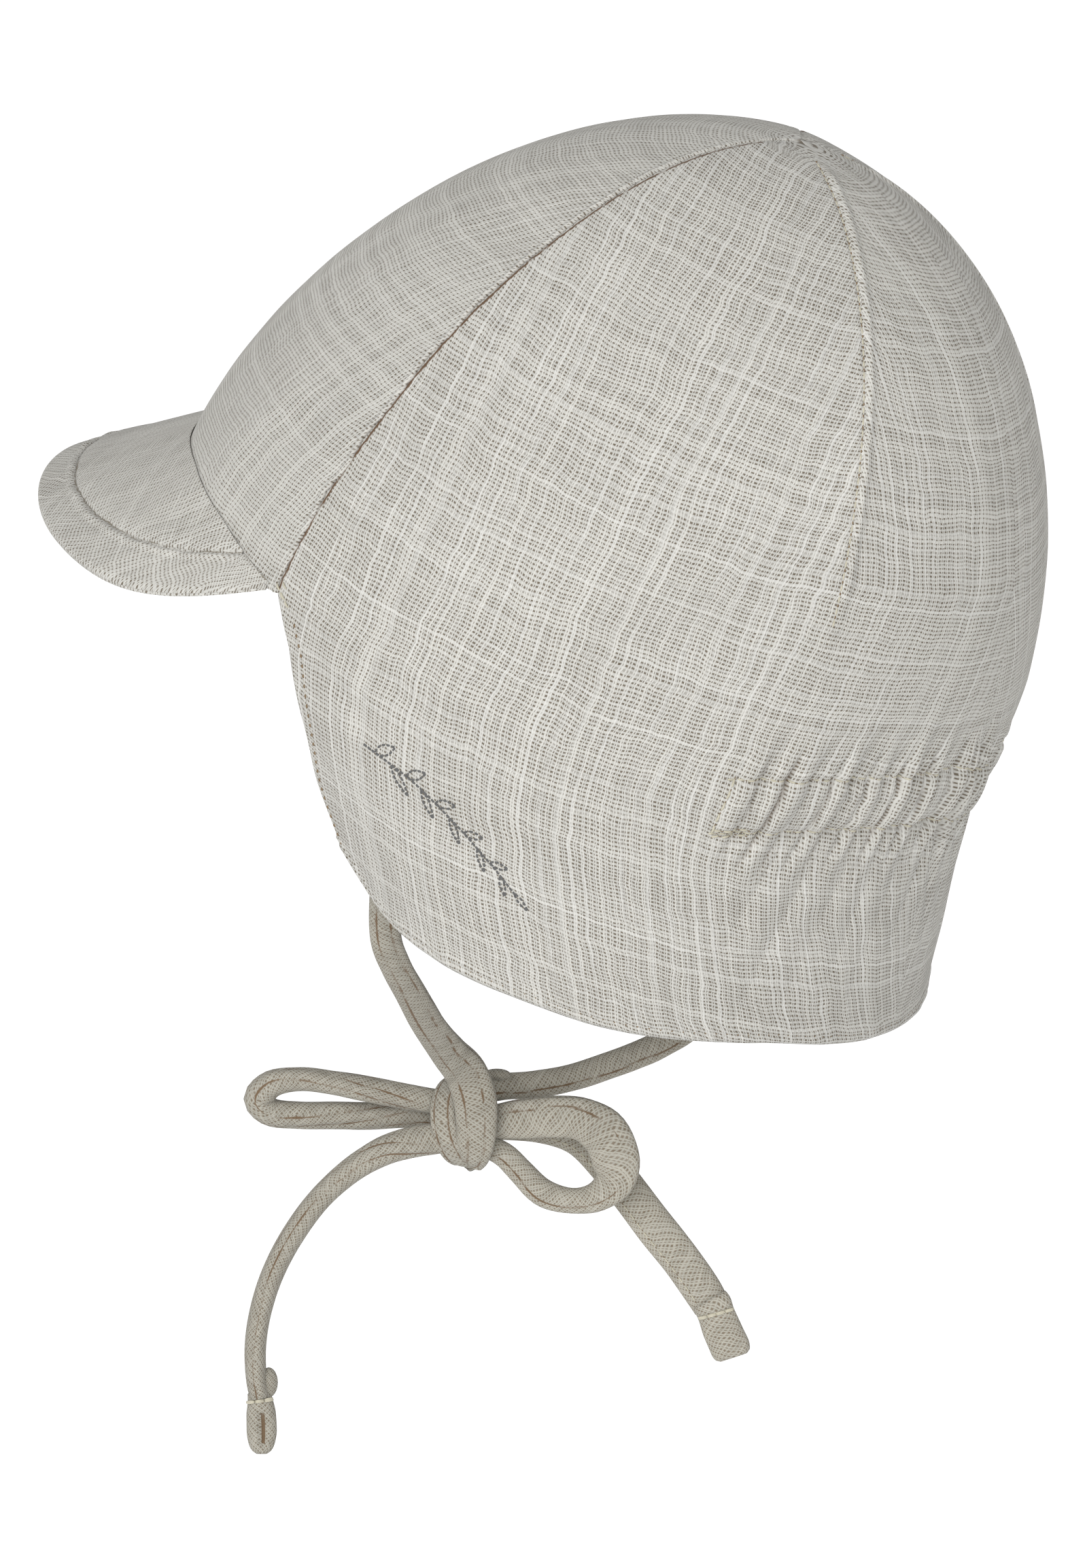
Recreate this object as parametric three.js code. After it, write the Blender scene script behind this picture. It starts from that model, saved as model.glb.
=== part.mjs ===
import * as THREE from 'three';

// A baby's peaked cap with a neck guard and two ties in a bow. Millimetres, +Z up, the peak toward -Y and the
// wearer's left toward +X. The origin is the middle of the head opening, which slopes down to the nape.

const deg = Math.PI / 180;
const lean = 23 * deg;
const wall = 1.6;
const gap = 0.3;
const seamAngle = 65.3;
const dartAngle = 142.2;
const halfWidth = 72.2;
const frontReach = 86.3;
const backReach = 77.6;
const height = 100;

// The two edges of an ear flap: the plan angle of its front edge by depth, and the depth of its hem by plan angle.
const frontEdge = [
  { depth: 0, angle: 65.6 },
  { depth: 4, angle: 67.6 },
  { depth: 9, angle: 69.2 },
  { depth: 19, angle: 69.6 },
  { depth: 31, angle: 67.8 },
  { depth: 42, angle: 66.6 },
];
const hem = [
  { angle: 66.6, depth: 41.5 },
  { angle: 70.4, depth: 45.2 },
  { angle: 73.6, depth: 47.3 },
  { angle: 80, depth: 48.3 },
  { angle: 103, depth: 48.1 },
  { angle: 115.6, depth: 47.4 },
  { angle: 127.8, depth: 45.5 },
  { angle: 140, depth: 43.7 },
  { angle: 153, depth: 42 },
  { angle: 168, depth: 41 },
  { angle: 180, depth: 40.8 },
];

// The lower stitch row of the nape elastic: its height over the head opening by plan angle.
const elasticRow = [
  { angle: 134, height: -4.8 },
  { angle: 139, height: -3.6 },
  { angle: 146, height: -2.5 },
  { angle: 154, height: -1.5 },
  { angle: 180, height: 0 },
];
const elasticWidth = 10.8;

// How far the elastic draws the cloth in, by height over its lower row.
const drawIn = [
  { over: -40, depth: 0 },
  { over: -31, depth: 0.9 },
  { over: -17, depth: 2.1 },
  { over: -8, depth: 2.9 },
  { over: 0, depth: 3.7 },
  { over: 4, depth: 3.2 },
  { over: 11, depth: 1.8 },
  { over: 18, depth: 0.7 },
  { over: 27, depth: 0 },
];

function clamp(x, low, high) {
  return Math.min(high, Math.max(low, x));
}

function step(x, from, to) {
  const k = clamp((x - from) / (to - from), 0, 1);
  return k * k * (3 - 2 * k);
}

// A smooth curve through the rows of a table.
function read(table, by, column, x) {
  const last = table.length - 1;
  if (x <= table[0][by]) return table[0][column];
  if (x >= table[last][by]) return table[last][column];
  let i = 0;
  while (x > table[i + 1][by]) i += 1;
  const slope = (a, b) => (table[b][column] - table[a][column]) / (table[b][by] - table[a][by]);
  const tangent = (n) => {
    if (n === 0) return slope(0, 1);
    if (n === last) return slope(last - 1, last);
    const before = slope(n - 1, n);
    const after = slope(n, n + 1);
    return before * after <= 0 ? 0 : (2 * before * after) / (before + after);
  };
  const span = table[i + 1][by] - table[i][by];
  const k = (x - table[i][by]) / span;
  const k2 = k * k;
  const k3 = k2 * k;
  return (2 * k3 - 3 * k2 + 1) * table[i][column] + (k3 - 2 * k2 + k) * span * tangent(i)
    + (3 * k2 - 2 * k3) * table[i + 1][column] + (k3 - k2) * span * tangent(i + 1);
}

// From the leaning frame of the head opening to the frame of the cap.
function stand(x, y, w) {
  return new THREE.Vector3(x, Math.cos(lean) * y + Math.sin(lean) * w, Math.cos(lean) * w - Math.sin(lean) * y);
}

function mirrored(angle) {
  return angle > 180 ? 360 - angle : angle;
}

// The plain shape by plan angle and height over the head opening. Each quarter of the dome has its own fullness.
function plain(angle, w) {
  const a = angle * deg;
  const c = Math.cos(a);
  const front = Math.max(0, c) ** 2;
  const back = Math.max(0, -c) ** 2;
  const side = Math.sin(a) ** 2;
  if (w >= 0) {
    const across = 1.2 * front + 1.0 * side + 0.89 * back;
    const up = 1.16 * front + 1.28 * side + 0.95 * back;
    const rise = Math.acos(clamp(w / height, 0, 1) ** (1 / up));
    const reach = Math.sin(rise) ** across;
    return [halfWidth * Math.sin(a) * reach, -(c > 0 ? frontReach : backReach) * c * reach, w];
  }
  const eased = -w - 9 * (1 - Math.exp(w / 9));
  const middle = 0.52 * eased;
  const reach = c > 0 ? frontReach - 0.72 * eased : backReach + 0.1 * eased - middle;
  return [(halfWidth - 0.0045 * w * w + 0.02 * w) * Math.sin(a), middle - reach * c, w];
}

// The lower elastic row, which sags on the wearer's right.
function elasticHeight(angle) {
  const sag = angle > 180 ? 4.5 * Math.sin(Math.PI * clamp((angle - 178) / 50, 0, 1)) : 0;
  return read(elasticRow, 'angle', 'height', mirrored(angle)) - sag;
}

// Folds and dents: how far the cloth stands out from the plain shape.
function relief(angle, w) {
  const m = mirrored(angle);
  const over = w - elasticHeight(angle);
  let out = -read(drawIn, 'over', 'depth', over) * step(m, 128, 158);
  const nearBand = over > elasticWidth ? 1 - step(over, elasticWidth, elasticWidth + 17) : 1 - 0.9 * step(-over, 0, 24);
  const gather = 0.75 + 0.3 * Math.sin(angle * 0.31 + 1.7);
  out += gather * nearBand * step(m, 131, 139) * Math.sin((angle - 134) * 36 * deg + over * 0.075);
  const dart = Math.exp(-(((m - dartAngle) / 0.8) ** 2)) * step(w, 40, 52) * (1 - step(w, 92, 99));
  const dartEnd = Math.exp(-(((m - dartAngle - 2) / 3.2) ** 2)) * step(w, 18, 40) * (1 - step(w, 44, 60));
  out -= 0.7 * dart + 0.5 * dartEnd;
  out += 0.7 * step(-w, 6, 26) * Math.sin((m - 70) * 7.3 * deg + w * 0.02) * (1 - step(m, 118, 134));
  return out;
}

function outward(angle, w) {
  if (w > height - 0.05) return new THREE.Vector3(0, Math.sin(lean), Math.cos(lean));
  const at = (a, h) => stand(...plain(a, h));
  const along = at(angle + 0.5, w).sub(at(angle - 0.5, w));
  const low = w > 0 ? Math.max(w - 0.4, 0) : w - 0.4;
  const high = Math.min(w >= 0 ? w + 0.4 : Math.min(w + 0.4, 0), height);
  const up = at(angle, high).sub(at(angle, low));
  return along.cross(up).normalize();
}

// The cloth by plan angle, height and depth under its outer face.
function cloth(angle, w, under = 0) {
  return stand(...plain(angle, w)).addScaledVector(outward(angle, w), relief(angle, w) - under);
}

// Heights of the rows of the crown, closer together at the top by angle.
function rowHeight(angle, rise) {
  const c = Math.cos(angle * deg);
  const up = 1.16 * Math.max(0, c) ** 2 + 1.28 * Math.sin(angle * deg) ** 2 + 0.95 * Math.max(0, -c) ** 2;
  return height * Math.max(0, Math.cos(rise * deg)) ** up;
}

// A closed mesh from a list of quads of points. Points closer than a hundredth are one, and empty triangles go.
function closed(name, quads) {
  const index = new Map();
  const points = [];
  const faces = [];
  const id = (p) => {
    const key = [p.x, p.y, p.z].map((v) => Math.round(v * 200)).join();
    if (!index.has(key)) {
      index.set(key, points.length / 3);
      points.push(p.x, p.y, p.z);
    }
    return index.get(key);
  };
  const face = (a, b, c) => {
    if (a !== b && b !== c && c !== a) faces.push(a, b, c);
  };
  for (const [p, q, r, s] of quads) {
    const [a, b, c, d] = [p, q, r, s].map(id);
    face(a, b, c);
    face(a, c, d);
  }
  const geometry = new THREE.BufferGeometry();
  geometry.setAttribute('position', new THREE.Float32BufferAttribute(points, 3));
  geometry.setIndex(faces);
  geometry.computeVertexNormals();
  const mesh = new THREE.Mesh(geometry, new THREE.MeshStandardMaterial({ color: 0xc9c6bf, roughness: 0.95 }));
  mesh.name = name;
  return mesh;
}

// A wall between an outer and an inner grid of the same size, closed round its four edges.
function shell(name, outer, inner) {
  const quads = [];
  const rows = outer.length - 1;
  const columns = outer[0].length - 1;
  for (let j = 0; j < rows; j += 1) {
    for (let i = 0; i < columns; i += 1) {
      quads.push([outer[j][i], outer[j + 1][i], outer[j + 1][i + 1], outer[j][i + 1]]);
      quads.push([inner[j][i], inner[j][i + 1], inner[j + 1][i + 1], inner[j + 1][i]]);
    }
    quads.push([outer[j][0], inner[j][0], inner[j + 1][0], outer[j + 1][0]]);
    quads.push([outer[j][columns], outer[j + 1][columns], inner[j + 1][columns], inner[j][columns]]);
  }
  for (let i = 0; i < columns; i += 1) {
    quads.push([outer[0][i], outer[0][i + 1], inner[0][i + 1], inner[0][i]]);
    quads.push([outer[rows][i], inner[rows][i], inner[rows][i + 1], outer[rows][i + 1]]);
  }
  return closed(name, quads);
}

// A solid through a row of closed rings of the same size, with flat ends. Its quads split along the one diagonal or the
// other, so that two solids can share a seam.
function loft(name, rings, other = false) {
  const quads = [];
  const around = rings[0].length;
  for (let j = 0; j < rings.length - 1; j += 1) {
    for (let i = 0; i < around; i += 1) {
      const n = (i + 1) % around;
      const quad = [rings[j][i], rings[j][n], rings[j + 1][n], rings[j + 1][i]];
      quads.push(other ? [quad[1], quad[2], quad[3], quad[0]] : quad);
    }
  }
  for (const [ring, turned] of [[rings[0], true], [rings[rings.length - 1], false]]) {
    for (let i = 0; i < around / 2 - 1; i += 1) {
      const quad = [ring[i], ring[i + 1], ring[around - 2 - i], ring[around - 1 - i]];
      quads.push(turned ? quad.reverse() : quad);
    }
  }
  return closed(name, quads);
}

function bodyColumns() {
  const half = [0, 3, 8, 15, 23, 31, 39, 47, 55, 62, 67, 70.5, 73.5, 75.6, 76.9, 78.2, 81];
  for (let a = 83.5; a < 114; a += 2.6) half.push(a);
  const span = 180 - seamAngle;
  const left = half.filter((a) => a < span - 1).map((a) => a / span / 2);
  return [...left, 0.5, ...left.map((k) => 1 - k).reverse()];
}

function crownBody() {
  const rises = [0, 3, 9, 16, 24, 32, 40, 48, 56, 63, 69, 74, 78, 82, 85, 88, 90];
  const drops = [0.07, 0.16, 0.27, 0.39, 0.52, 0.66, 0.8, 0.92, 1];
  const outer = [];
  const inner = [];
  const columns = bodyColumns();
  for (const rise of rises) {
    const edge = seamAngle + (0.7 * gap / halfWidth / Math.max(Math.sin(rise * deg), 0.03)) / deg;
    const angles = columns.map((k) => edge + k * (360 - 2 * edge));
    outer.push(angles.map((a) => cloth(a, rowHeight(a, rise))));
    inner.push(angles.map((a) => cloth(a, rowHeight(a, rise), wall)));
  }
  for (const drop of drops) {
    const edge = read(frontEdge, 'depth', 'angle', drop * 42);
    const angles = columns.map((k) => edge + k * (360 - 2 * edge));
    const depth = (a) => drop * read(hem, 'angle', 'depth', mirrored(a));
    outer.push(angles.map((a) => cloth(a, -depth(a))));
    inner.push(angles.map((a) => cloth(a, -depth(a), wall)));
  }
  return shell('crown_body', outer, inner);
}

// Where the peak meets the crown, and its outer edge, both by a share from -1 on the right to 1 on the left.
const peakSeam = [
  { share: 0, height: 2.2 },
  { share: 0.3, height: 2.9 },
  { share: 0.55, height: 4.0 },
  { share: 0.75, height: 3.2 },
  { share: 0.9, height: 1.5 },
  { share: 1, height: 0.4 },
];

function peakRoot(share, under = 0) {
  return cloth(share * 64.6, read(peakSeam, 'share', 'height', Math.abs(share)) - under, -1.5 * gap);
}

function peakEdge(share) {
  const a = share * 90 * deg;
  const c = Math.max(0, Math.cos(a));
  return new THREE.Vector3(64.5 * Math.sin(a), -33.8 - 78.94 * c ** 0.89, 14.9 - 19.2 * c + 30.1 * c * c);
}

function peakTop(share, k) {
  const p = peakRoot(share).lerp(peakEdge(share), k);
  p.z += 0.1 * Math.sin(Math.PI * k) * Math.cos(share * 90 * deg);
  return p;
}

function peakUp(share, k) {
  const s = clamp(share, -0.97, 0.97);
  const t = clamp(k, 0.03, 0.97);
  const across = peakTop(s + 0.02, t).sub(peakTop(s - 0.02, t));
  const out = peakTop(s, t + 0.03).sub(peakTop(s, t - 0.03));
  return out.cross(across).normalize();
}

// A point of the peak at a depth under its top. Its inner side and its two ends follow the wall of the crown.
function peakPoint(share, k, under) {
  const down = peakUp(share, k).multiplyScalar(-under);
  const wallward = peakRoot(share, under).sub(peakRoot(share));
  const hold = Math.max(1 - step(k, 0, 0.75), step(Math.abs(share), 0.5, 0.84));
  return peakTop(share, k).add(down.lerp(wallward, hold));
}

// The peak is padded at the front and thin at its ends.
function peakThick(share) {
  return 3 - 1.1 * share ** 4;
}

// The share of the way to the edge at which the border starts.
function borderStart(share) {
  const reach = peakEdge(share).distanceTo(peakRoot(share));
  const wide = 8 + 2.6 * Math.sin(share * 90 * deg) ** 2;
  return 1 - wide / reach;
}

function crownFront() {
  const rises = [2, 9, 16, 24, 32, 40, 48, 56, 63, 69, 74, 78, 82, 86];
  const outer = [];
  const inner = [];
  const share = (i) => -1 + (i / 11);
  for (const rise of [...rises, 90, 93]) {
    const edge = seamAngle - (0.7 * gap / halfWidth / Math.max(Math.sin(rise * deg), 0.03)) / deg;
    const rows = [0, wall].map((under) => Array.from({ length: 23 }, (_, i) => {
      const a = share(i) * edge;
      const w = rise < 90 ? rowHeight(a, rise) : -(rise - 90) * (1.2 - 1.1 * share(i) ** 6);
      return cloth(a < 0 ? a + 360 : a, w, under);
    }));
    outer.push(rows[0]);
    inner.push(rows[1]);
  }
  return shell('crown_front', outer, inner);
}

// A point of the seam between the two pieces of the peak, half a gap to its inner or outer side.
function seamPoint(share, under, side) {
  const k = borderStart(share);
  const out = peakTop(share, k + 0.04).sub(peakTop(share, k - 0.04)).normalize();
  return peakPoint(share, k, under).addScaledVector(out, side * 1.2 * gap);
}

function peakShare(i) {
  return 0.955 * Math.sin((i / 18) * 70 * deg) / Math.sin(70 * deg);
}

function peakPanel() {
  const rings = [];
  for (let i = -14; i <= 14; i += 1) {
    const share = peakShare(i);
    const ks = [0, 0.22, 0.47, 0.74].map((k) => k * borderStart(share));
    const [top, bottom] = [0, peakThick(share)].map((under) => (
      [...ks.map((k) => peakPoint(share, k, under)), seamPoint(share, under, -1)]));
    rings.push([...top, ...bottom.reverse()]);
  }
  return loft('peak_panel', rings, true);
}

function peakBorder() {
  const rings = [];
  for (let i = -18; i <= 18; i += 1) {
    const share = peakShare(i);
    const reach = peakEdge(share).distanceTo(peakRoot(share));
    const seam = borderStart(share);
    const start = Math.max(0, seam);
    const thick = peakThick(share);
    const end = 1 - thick / 2 / reach;
    const [top, bottom] = [0, thick].map((under) => [
      seam > 0 ? seamPoint(share, under, 1) : peakPoint(share, 0, under),
      peakPoint(share, (start + end) / 2, under),
      peakPoint(share, end, under),
    ]);
    const out = peakPoint(share, end, 0).sub(peakPoint(share, end - 0.05, 0)).normalize();
    const lip = peakPoint(share, end, thick * 0.25).addScaledVector(out, thick * 0.42);
    const lipLow = peakPoint(share, end, thick * 0.75).addScaledVector(out, thick * 0.42);
    rings.push([...top, lip, lipLow, ...bottom.reverse()]);
  }
  return loft('peak_border', rings);
}

// The bow lies square to the side it is seen from: across, up and toward that side, from the middle of the knot.
const knot = new THREE.Vector3(2, -29.5, -95.8);
const across = new THREE.Vector3(-0.4695, 0.8829, 0);
const upward = new THREE.Vector3(-0.1533, -0.0815, 0.9848);
const toward = new THREE.Vector3(0.8695, 0.4623, 0.1736);

function bow(a, h, d) {
  return knot.clone().addScaledVector(across, a).addScaledVector(upward, h).addScaledVector(toward, d);
}

// The tie starts inside the front corner of a flap: its place there, in the frame of the bow.
function inFlap(side, angle, depth) {
  const p = cloth(side > 0 ? angle : 360 - angle, -depth, wall + 3.6).sub(knot);
  return [p.dot(across), p.dot(upward), p.dot(toward)];
}

// A flattened tube along rows of place, width, thickness and roll. At roll 0 its wide face looks along toward.
function strap(name, rows, steps, around = 8) {
  const path = new THREE.CatmullRomCurve3(rows.map(([a, h, d]) => bow(a, h, d)), false, 'centripetal');
  const last = rows.length - 1;
  const rings = [];
  for (let n = 0; n <= steps; n += 1) {
    const t = n / steps;
    const i = Math.min(last - 1, Math.floor(t * last));
    const k = step(t * last - i, 0, 1);
    const [wide, thick, roll] = [3, 4, 5].map((c) => rows[i][c] + (rows[i + 1][c] - rows[i][c]) * k);
    const place = path.getPoint(t);
    const ahead = path.getTangent(t);
    const face = toward.clone().addScaledVector(ahead, -toward.dot(ahead)).normalize();
    face.applyAxisAngle(ahead, roll * deg);
    const side = face.clone().cross(ahead);
    const ring = [];
    for (let m = 0; m < around; m += 1) {
      const turn = ((m + 0.5) / around) * 2 * Math.PI;
      ring.push(place.clone().addScaledVector(side, (wide / 2) * Math.cos(turn))
        .addScaledVector(face, (thick / 2) * Math.sin(turn)));
    }
    rings.push(ring);
  }
  return loft(name, rings);
}

function tieLeft() {
  return strap('tie_left', [
    [...inFlap(1, 74.3, 37), 6.4, 2.4, 0],
    [...inFlap(1, 71.7, 42), 6.8, 2.8, 0],
    [-13.6, 33.7, 51.6, 6.8, 3.0, 0],
    [-11.9, 29.5, 47.0, 6.8, 3.0, 0],
    [-9.1, 25.2, 40.0, 7.0, 3.0, 0],
    [-5.6, 18.5, 27.0, 7.2, 3.2, 0],
    [-2.1, 12.9, 14.0, 7.4, 3.4, 0],
    [-0.9, 10.4, 8.4, 7.2, 3.2, 0],
    [0.3, 9.0, 4.4, 6.8, 3.0, 0],
  ], 20);
}

function tieRight() {
  return strap('tie_right', [
    [...inFlap(-1, 75.5, 38), 6.4, 2.4, 0],
    [...inFlap(-1, 74.5, 44), 6.8, 2.8, 0],
    [42.0, 43.0, -35.5, 6.8, 3.0, 0],
    [44.4, 29.0, -37.0, 6.8, 3.0, 0],
    [44.9, 19.6, -34.0, 6.6, 3.2, 0],
    [41.0, 12.9, -28.0, 6.4, 3.2, 0],
    [33.9, 9.6, -22.0, 6.2, 3.4, 0],
    [25.0, 7.2, -15.0, 6.0, 3.4, 0],
    [14.8, 5.6, -9.0, 5.8, 3.4, 0],
    [5.5, 4.9, -4.2, 5.0, 3.4, 0],
  ], 22);
}

function loopRightTie() {
  return strap('loop_right_tie', [
    [-6.4, 2.8, 0.2, 5.4, 3.0, 0],
    [-11.6, 3.8, 1.0, 4.8, 3.4, 20],
    [-18.2, 5.3, 1.5, 4.6, 3.6, 40],
    [-24.8, 7.0, 1.5, 4.6, 3.6, 60],
    [-31.5, 7.4, 0.8, 5.0, 3.2, 80],
    [-36.1, 6.9, 0.0, 5.4, 3.0, 85],
    [-38.9, 5.0, -0.8, 5.6, 3.0, 90],
    [-39.2, 2.4, -1.5, 5.6, 3.0, 90],
    [-37.0, 0.7, -2.2, 5.4, 3.0, 85],
    [-32.3, -0.1, -2.8, 5.0, 3.2, 70],
    [-25.6, -0.2, -3.4, 4.8, 3.4, 45],
    [-18.3, 0.2, -3.8, 4.8, 3.4, 20],
    [-11.7, 0.5, -4.0, 5.0, 3.0, 0],
    [-6.6, 0.5, -3.8, 5.0, 2.8, 0],
  ], 40);
}

function tailRightTie() {
  return strap('tail_right_tie', [
    [6.0, -1.8, -3.4, 5.4, 2.8, 0],
    [13.2, -3.6, -5.0, 6.6, 2.8, 0],
    [19.6, -6.3, -5.6, 7.0, 2.6, 0],
    [25.2, -9.6, -5.4, 7.2, 2.6, 0],
    [31.0, -14.2, -4.8, 7.4, 2.6, 0],
    [36.0, -19.8, -3.6, 7.4, 2.6, 0],
    [41.2, -26.2, -2.6, 7.2, 2.6, 0],
    [44.6, -31.0, -2.1, 6.8, 2.8, 0],
    [46.0, -33.6, -2.0, 6.6, 3.0, 0],
  ], 20);
}

function loopLeftTie() {
  return strap('loop_left_tie', [
    [5.9, 0.2, 1.6, 5.6, 3.0, 0],
    [10.3, 1.0, 3.0, 6.2, 3.0, 0],
    [16.3, 1.7, 4.5, 6.4, 3.0, 0],
    [22.2, 1.3, 5.0, 6.8, 3.0, 0],
    [26.9, -1.0, 4.6, 7.0, 3.0, 0],
    [29.0, -4.8, 3.6, 7.0, 3.0, 0],
    [28.4, -8.9, 2.4, 6.6, 3.2, 0],
    [25.4, -12.4, 1.4, 5.8, 3.4, 0],
    [20.9, -14.5, 0.8, 5.2, 3.6, 0],
    [16.3, -14.2, 0.6, 5.0, 3.6, 0],
    [12.4, -12.0, 0.6, 5.0, 3.6, 0],
    [9.6, -8.9, 0.8, 5.0, 3.4, 0],
    [7.2, -6.6, 1.0, 4.8, 3.0, 0],
    [5.4, -5.7, 1.0, 4.4, 2.8, 0],
  ], 40);
}

function tailLeftTie() {
  return strap('tail_left_tie', [
    [-6.4, -3.5, 1.8, 5.2, 3.2, 0],
    [-10.2, -4.2, 2.0, 5.2, 3.6, 20],
    [-15.5, -5.7, 2.0, 4.8, 3.8, 45],
    [-20.9, -8.0, 1.5, 5.4, 3.8, 70],
    [-25.2, -12.1, 1.0, 6.0, 4.2, 90],
    [-29.0, -17.1, 0.5, 6.4, 4.2, 90],
    [-32.3, -22.3, 0.0, 6.6, 4.0, 90],
    [-35.1, -28.1, 0.0, 6.8, 3.8, 90],
    [-37.3, -34.0, 0.0, 6.8, 3.8, 90],
    [-38.6, -40.5, 0.0, 6.8, 3.8, 90],
    [-38.8, -47.0, 0.0, 6.8, 3.6, 90],
    [-38.2, -50.6, 0.0, 6.8, 3.6, 90],
  ], 28);
}

// A folded end: two layers, wider than the tie it closes.
function endLeftTie() {
  return strap('end_left_tie', [
    [-38.1, -51.3, 0, 6.6, 4.2, 90],
    [-38.0, -53.0, 0, 6.8, 5.4, 90],
    [-37.8, -57.5, 0, 7.0, 5.6, 90],
    [-37.7, -60.6, 0, 6.8, 5.0, 90],
    [-37.7, -62.3, 0, 6.2, 3.0, 90],
  ], 8);
}

function endRightTie() {
  return strap('end_right_tie', [
    [46.1, -34.4, -2, 6.4, 3.4, 0],
    [46.8, -36.2, -2, 6.8, 3.6, 0],
    [48.3, -39.6, -2, 7.2, 3.6, 0],
    [49.6, -42.6, -2, 7.0, 3.4, 0],
    [50.0, -43.6, -2, 6.4, 2.6, 0],
  ], 8);
}

// The knot: a rounded lump with the groove between its two wraps.
function tieKnot() {
  const rings = [];
  const around = 16;
  for (let j = 0; j <= 12; j += 1) {
    const k = -1 + j / 6;
    const bulge = 1 - 0.35 * Math.abs(k) ** 2.6;
    const ring = [];
    for (let i = 0; i < around; i += 1) {
      const turn = ((i + 0.5) / around) * 2 * Math.PI;
      const groove = 0.9 * Math.exp(-(((k + 0.1 - 0.18 * Math.cos(turn)) / 0.13) ** 2));
      const round = (v) => Math.sign(v) * Math.abs(v) ** 0.85;
      ring.push(bow(-0.3 + 5.2 * k, (8.3 * bulge - groove) * round(Math.cos(turn)),
        -0.6 + (6.0 * bulge - groove) * round(Math.sin(turn))));
    }
    rings.push(ring);
  }
  return loft('tie_knot', rings);
}

const cap = new THREE.Group();
cap.name = 'cap';
cap.add(
  crownFront(),
  crownBody(),
  peakPanel(),
  peakBorder(),
  tieLeft(),
  tieRight(),
  tieKnot(),
  loopLeftTie(),
  loopRightTie(),
  tailLeftTie(),
  tailRightTie(),
  endLeftTie(),
  endRightTie(),
);

export default cap;
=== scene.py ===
# A baby's muslin cap with a peak, a neck guard and two ties in a bow.
# Shapes are worked out in millimetres and degrees: +Z up, the peak toward -Y, the wearer's left toward +X.
import bpy
import math
import numpy as np
from mathutils import Matrix


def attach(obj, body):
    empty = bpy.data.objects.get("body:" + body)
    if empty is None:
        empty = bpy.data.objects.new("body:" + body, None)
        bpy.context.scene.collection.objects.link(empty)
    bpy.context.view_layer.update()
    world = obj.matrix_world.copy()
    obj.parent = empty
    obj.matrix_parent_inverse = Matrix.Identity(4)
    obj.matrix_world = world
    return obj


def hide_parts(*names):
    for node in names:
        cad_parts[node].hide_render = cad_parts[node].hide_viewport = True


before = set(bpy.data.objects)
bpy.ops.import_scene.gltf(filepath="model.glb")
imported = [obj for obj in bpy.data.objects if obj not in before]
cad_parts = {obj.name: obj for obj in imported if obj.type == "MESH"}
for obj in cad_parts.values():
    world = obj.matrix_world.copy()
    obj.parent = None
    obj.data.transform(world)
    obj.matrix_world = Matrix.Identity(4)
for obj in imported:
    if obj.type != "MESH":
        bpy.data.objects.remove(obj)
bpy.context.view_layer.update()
mm = 0.001
turn = 2 * math.pi
diagonal = 0.7071  # sine of 45 degrees, for cloth cut on the bias


# small helpers

def smooth(x, low, high):
    k = np.clip((x - low) / (high - low), 0, 1)
    return k * k * (3 - 2 * k)


def bell(x, middle, width):
    return np.exp(-((x - middle) / width) ** 2)


def readCurve(rows, x):  # a smooth curve through rows of (x, y), with no overshoot
    xs, ys = (np.array(c, float) for c in zip(*rows))
    slopes = np.diff(ys) / np.diff(xs)
    before, after = slopes[:-1], slopes[1:]
    total = np.where(before * after > 0, before + after, 1)
    inner = np.where(before * after > 0, 2 * before * after / total, 0)
    tangents = np.concatenate([slopes[:1], inner, slopes[-1:]])
    x = np.clip(np.asarray(x, float), xs[0], xs[-1])
    i = np.clip(np.searchsorted(xs, x, side="right") - 1, 0, len(slopes) - 1)
    span = xs[i + 1] - xs[i]
    k = (x - xs[i]) / span
    return ((2 * k ** 3 - 3 * k ** 2 + 1) * ys[i] + (k ** 3 - 2 * k ** 2 + k) * span * tangents[i]
            + (3 * k ** 2 - 2 * k ** 3) * ys[i + 1] + (k ** 3 - k ** 2) * span * tangents[i + 1])


def spread(density, low, high, count):  # places from low to high, closer together where density is larger
    fine = np.linspace(low, high, 4000)
    total = np.concatenate([[0], np.cumsum(density(fine)[:-1])])
    return np.interp(np.linspace(0, total[-1], count), total, fine)


def unit(v):
    return v / np.maximum(np.linalg.norm(v, axis=-1, keepdims=True), 1e-9)


def wayAlong(points, axis=0):  # how far each point lies along its line, from the line's start
    total = np.cumsum(np.linalg.norm(np.diff(points, axis=axis), axis=-1), axis=axis)
    return np.concatenate([0 * np.take(total, [0], axis), total], axis)


def placesAt(at, along, points):
    return np.stack([np.interp(at, along, points[:, n]) for n in range(3)], 1)


def waves(seed, count, fine, *places):  # gentle unevenness from a few seeded waves
    dice = np.random.default_rng(seed)
    total = 0
    for _ in range(count):
        slopes, start = dice.normal(0, fine, len(places)), dice.uniform(0, turn)
        total = total + np.sin(sum(p * s for p, s in zip(places, slopes)) + start)
    return total / count


def clearSelection():
    if bpy.context.object and bpy.context.object.mode != "OBJECT":
        bpy.ops.object.mode_set(mode="OBJECT")
    bpy.ops.object.select_all(action="DESELECT")


def pick(piece):
    clearSelection()
    piece.select_set(True)
    bpy.context.view_layer.objects.active = piece


def vertexSpots(piece):
    spots = np.empty(len(piece.data.vertices) * 3)
    piece.data.vertices.foreach_get("co", spots)
    return spots.reshape(-1, 3)


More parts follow.
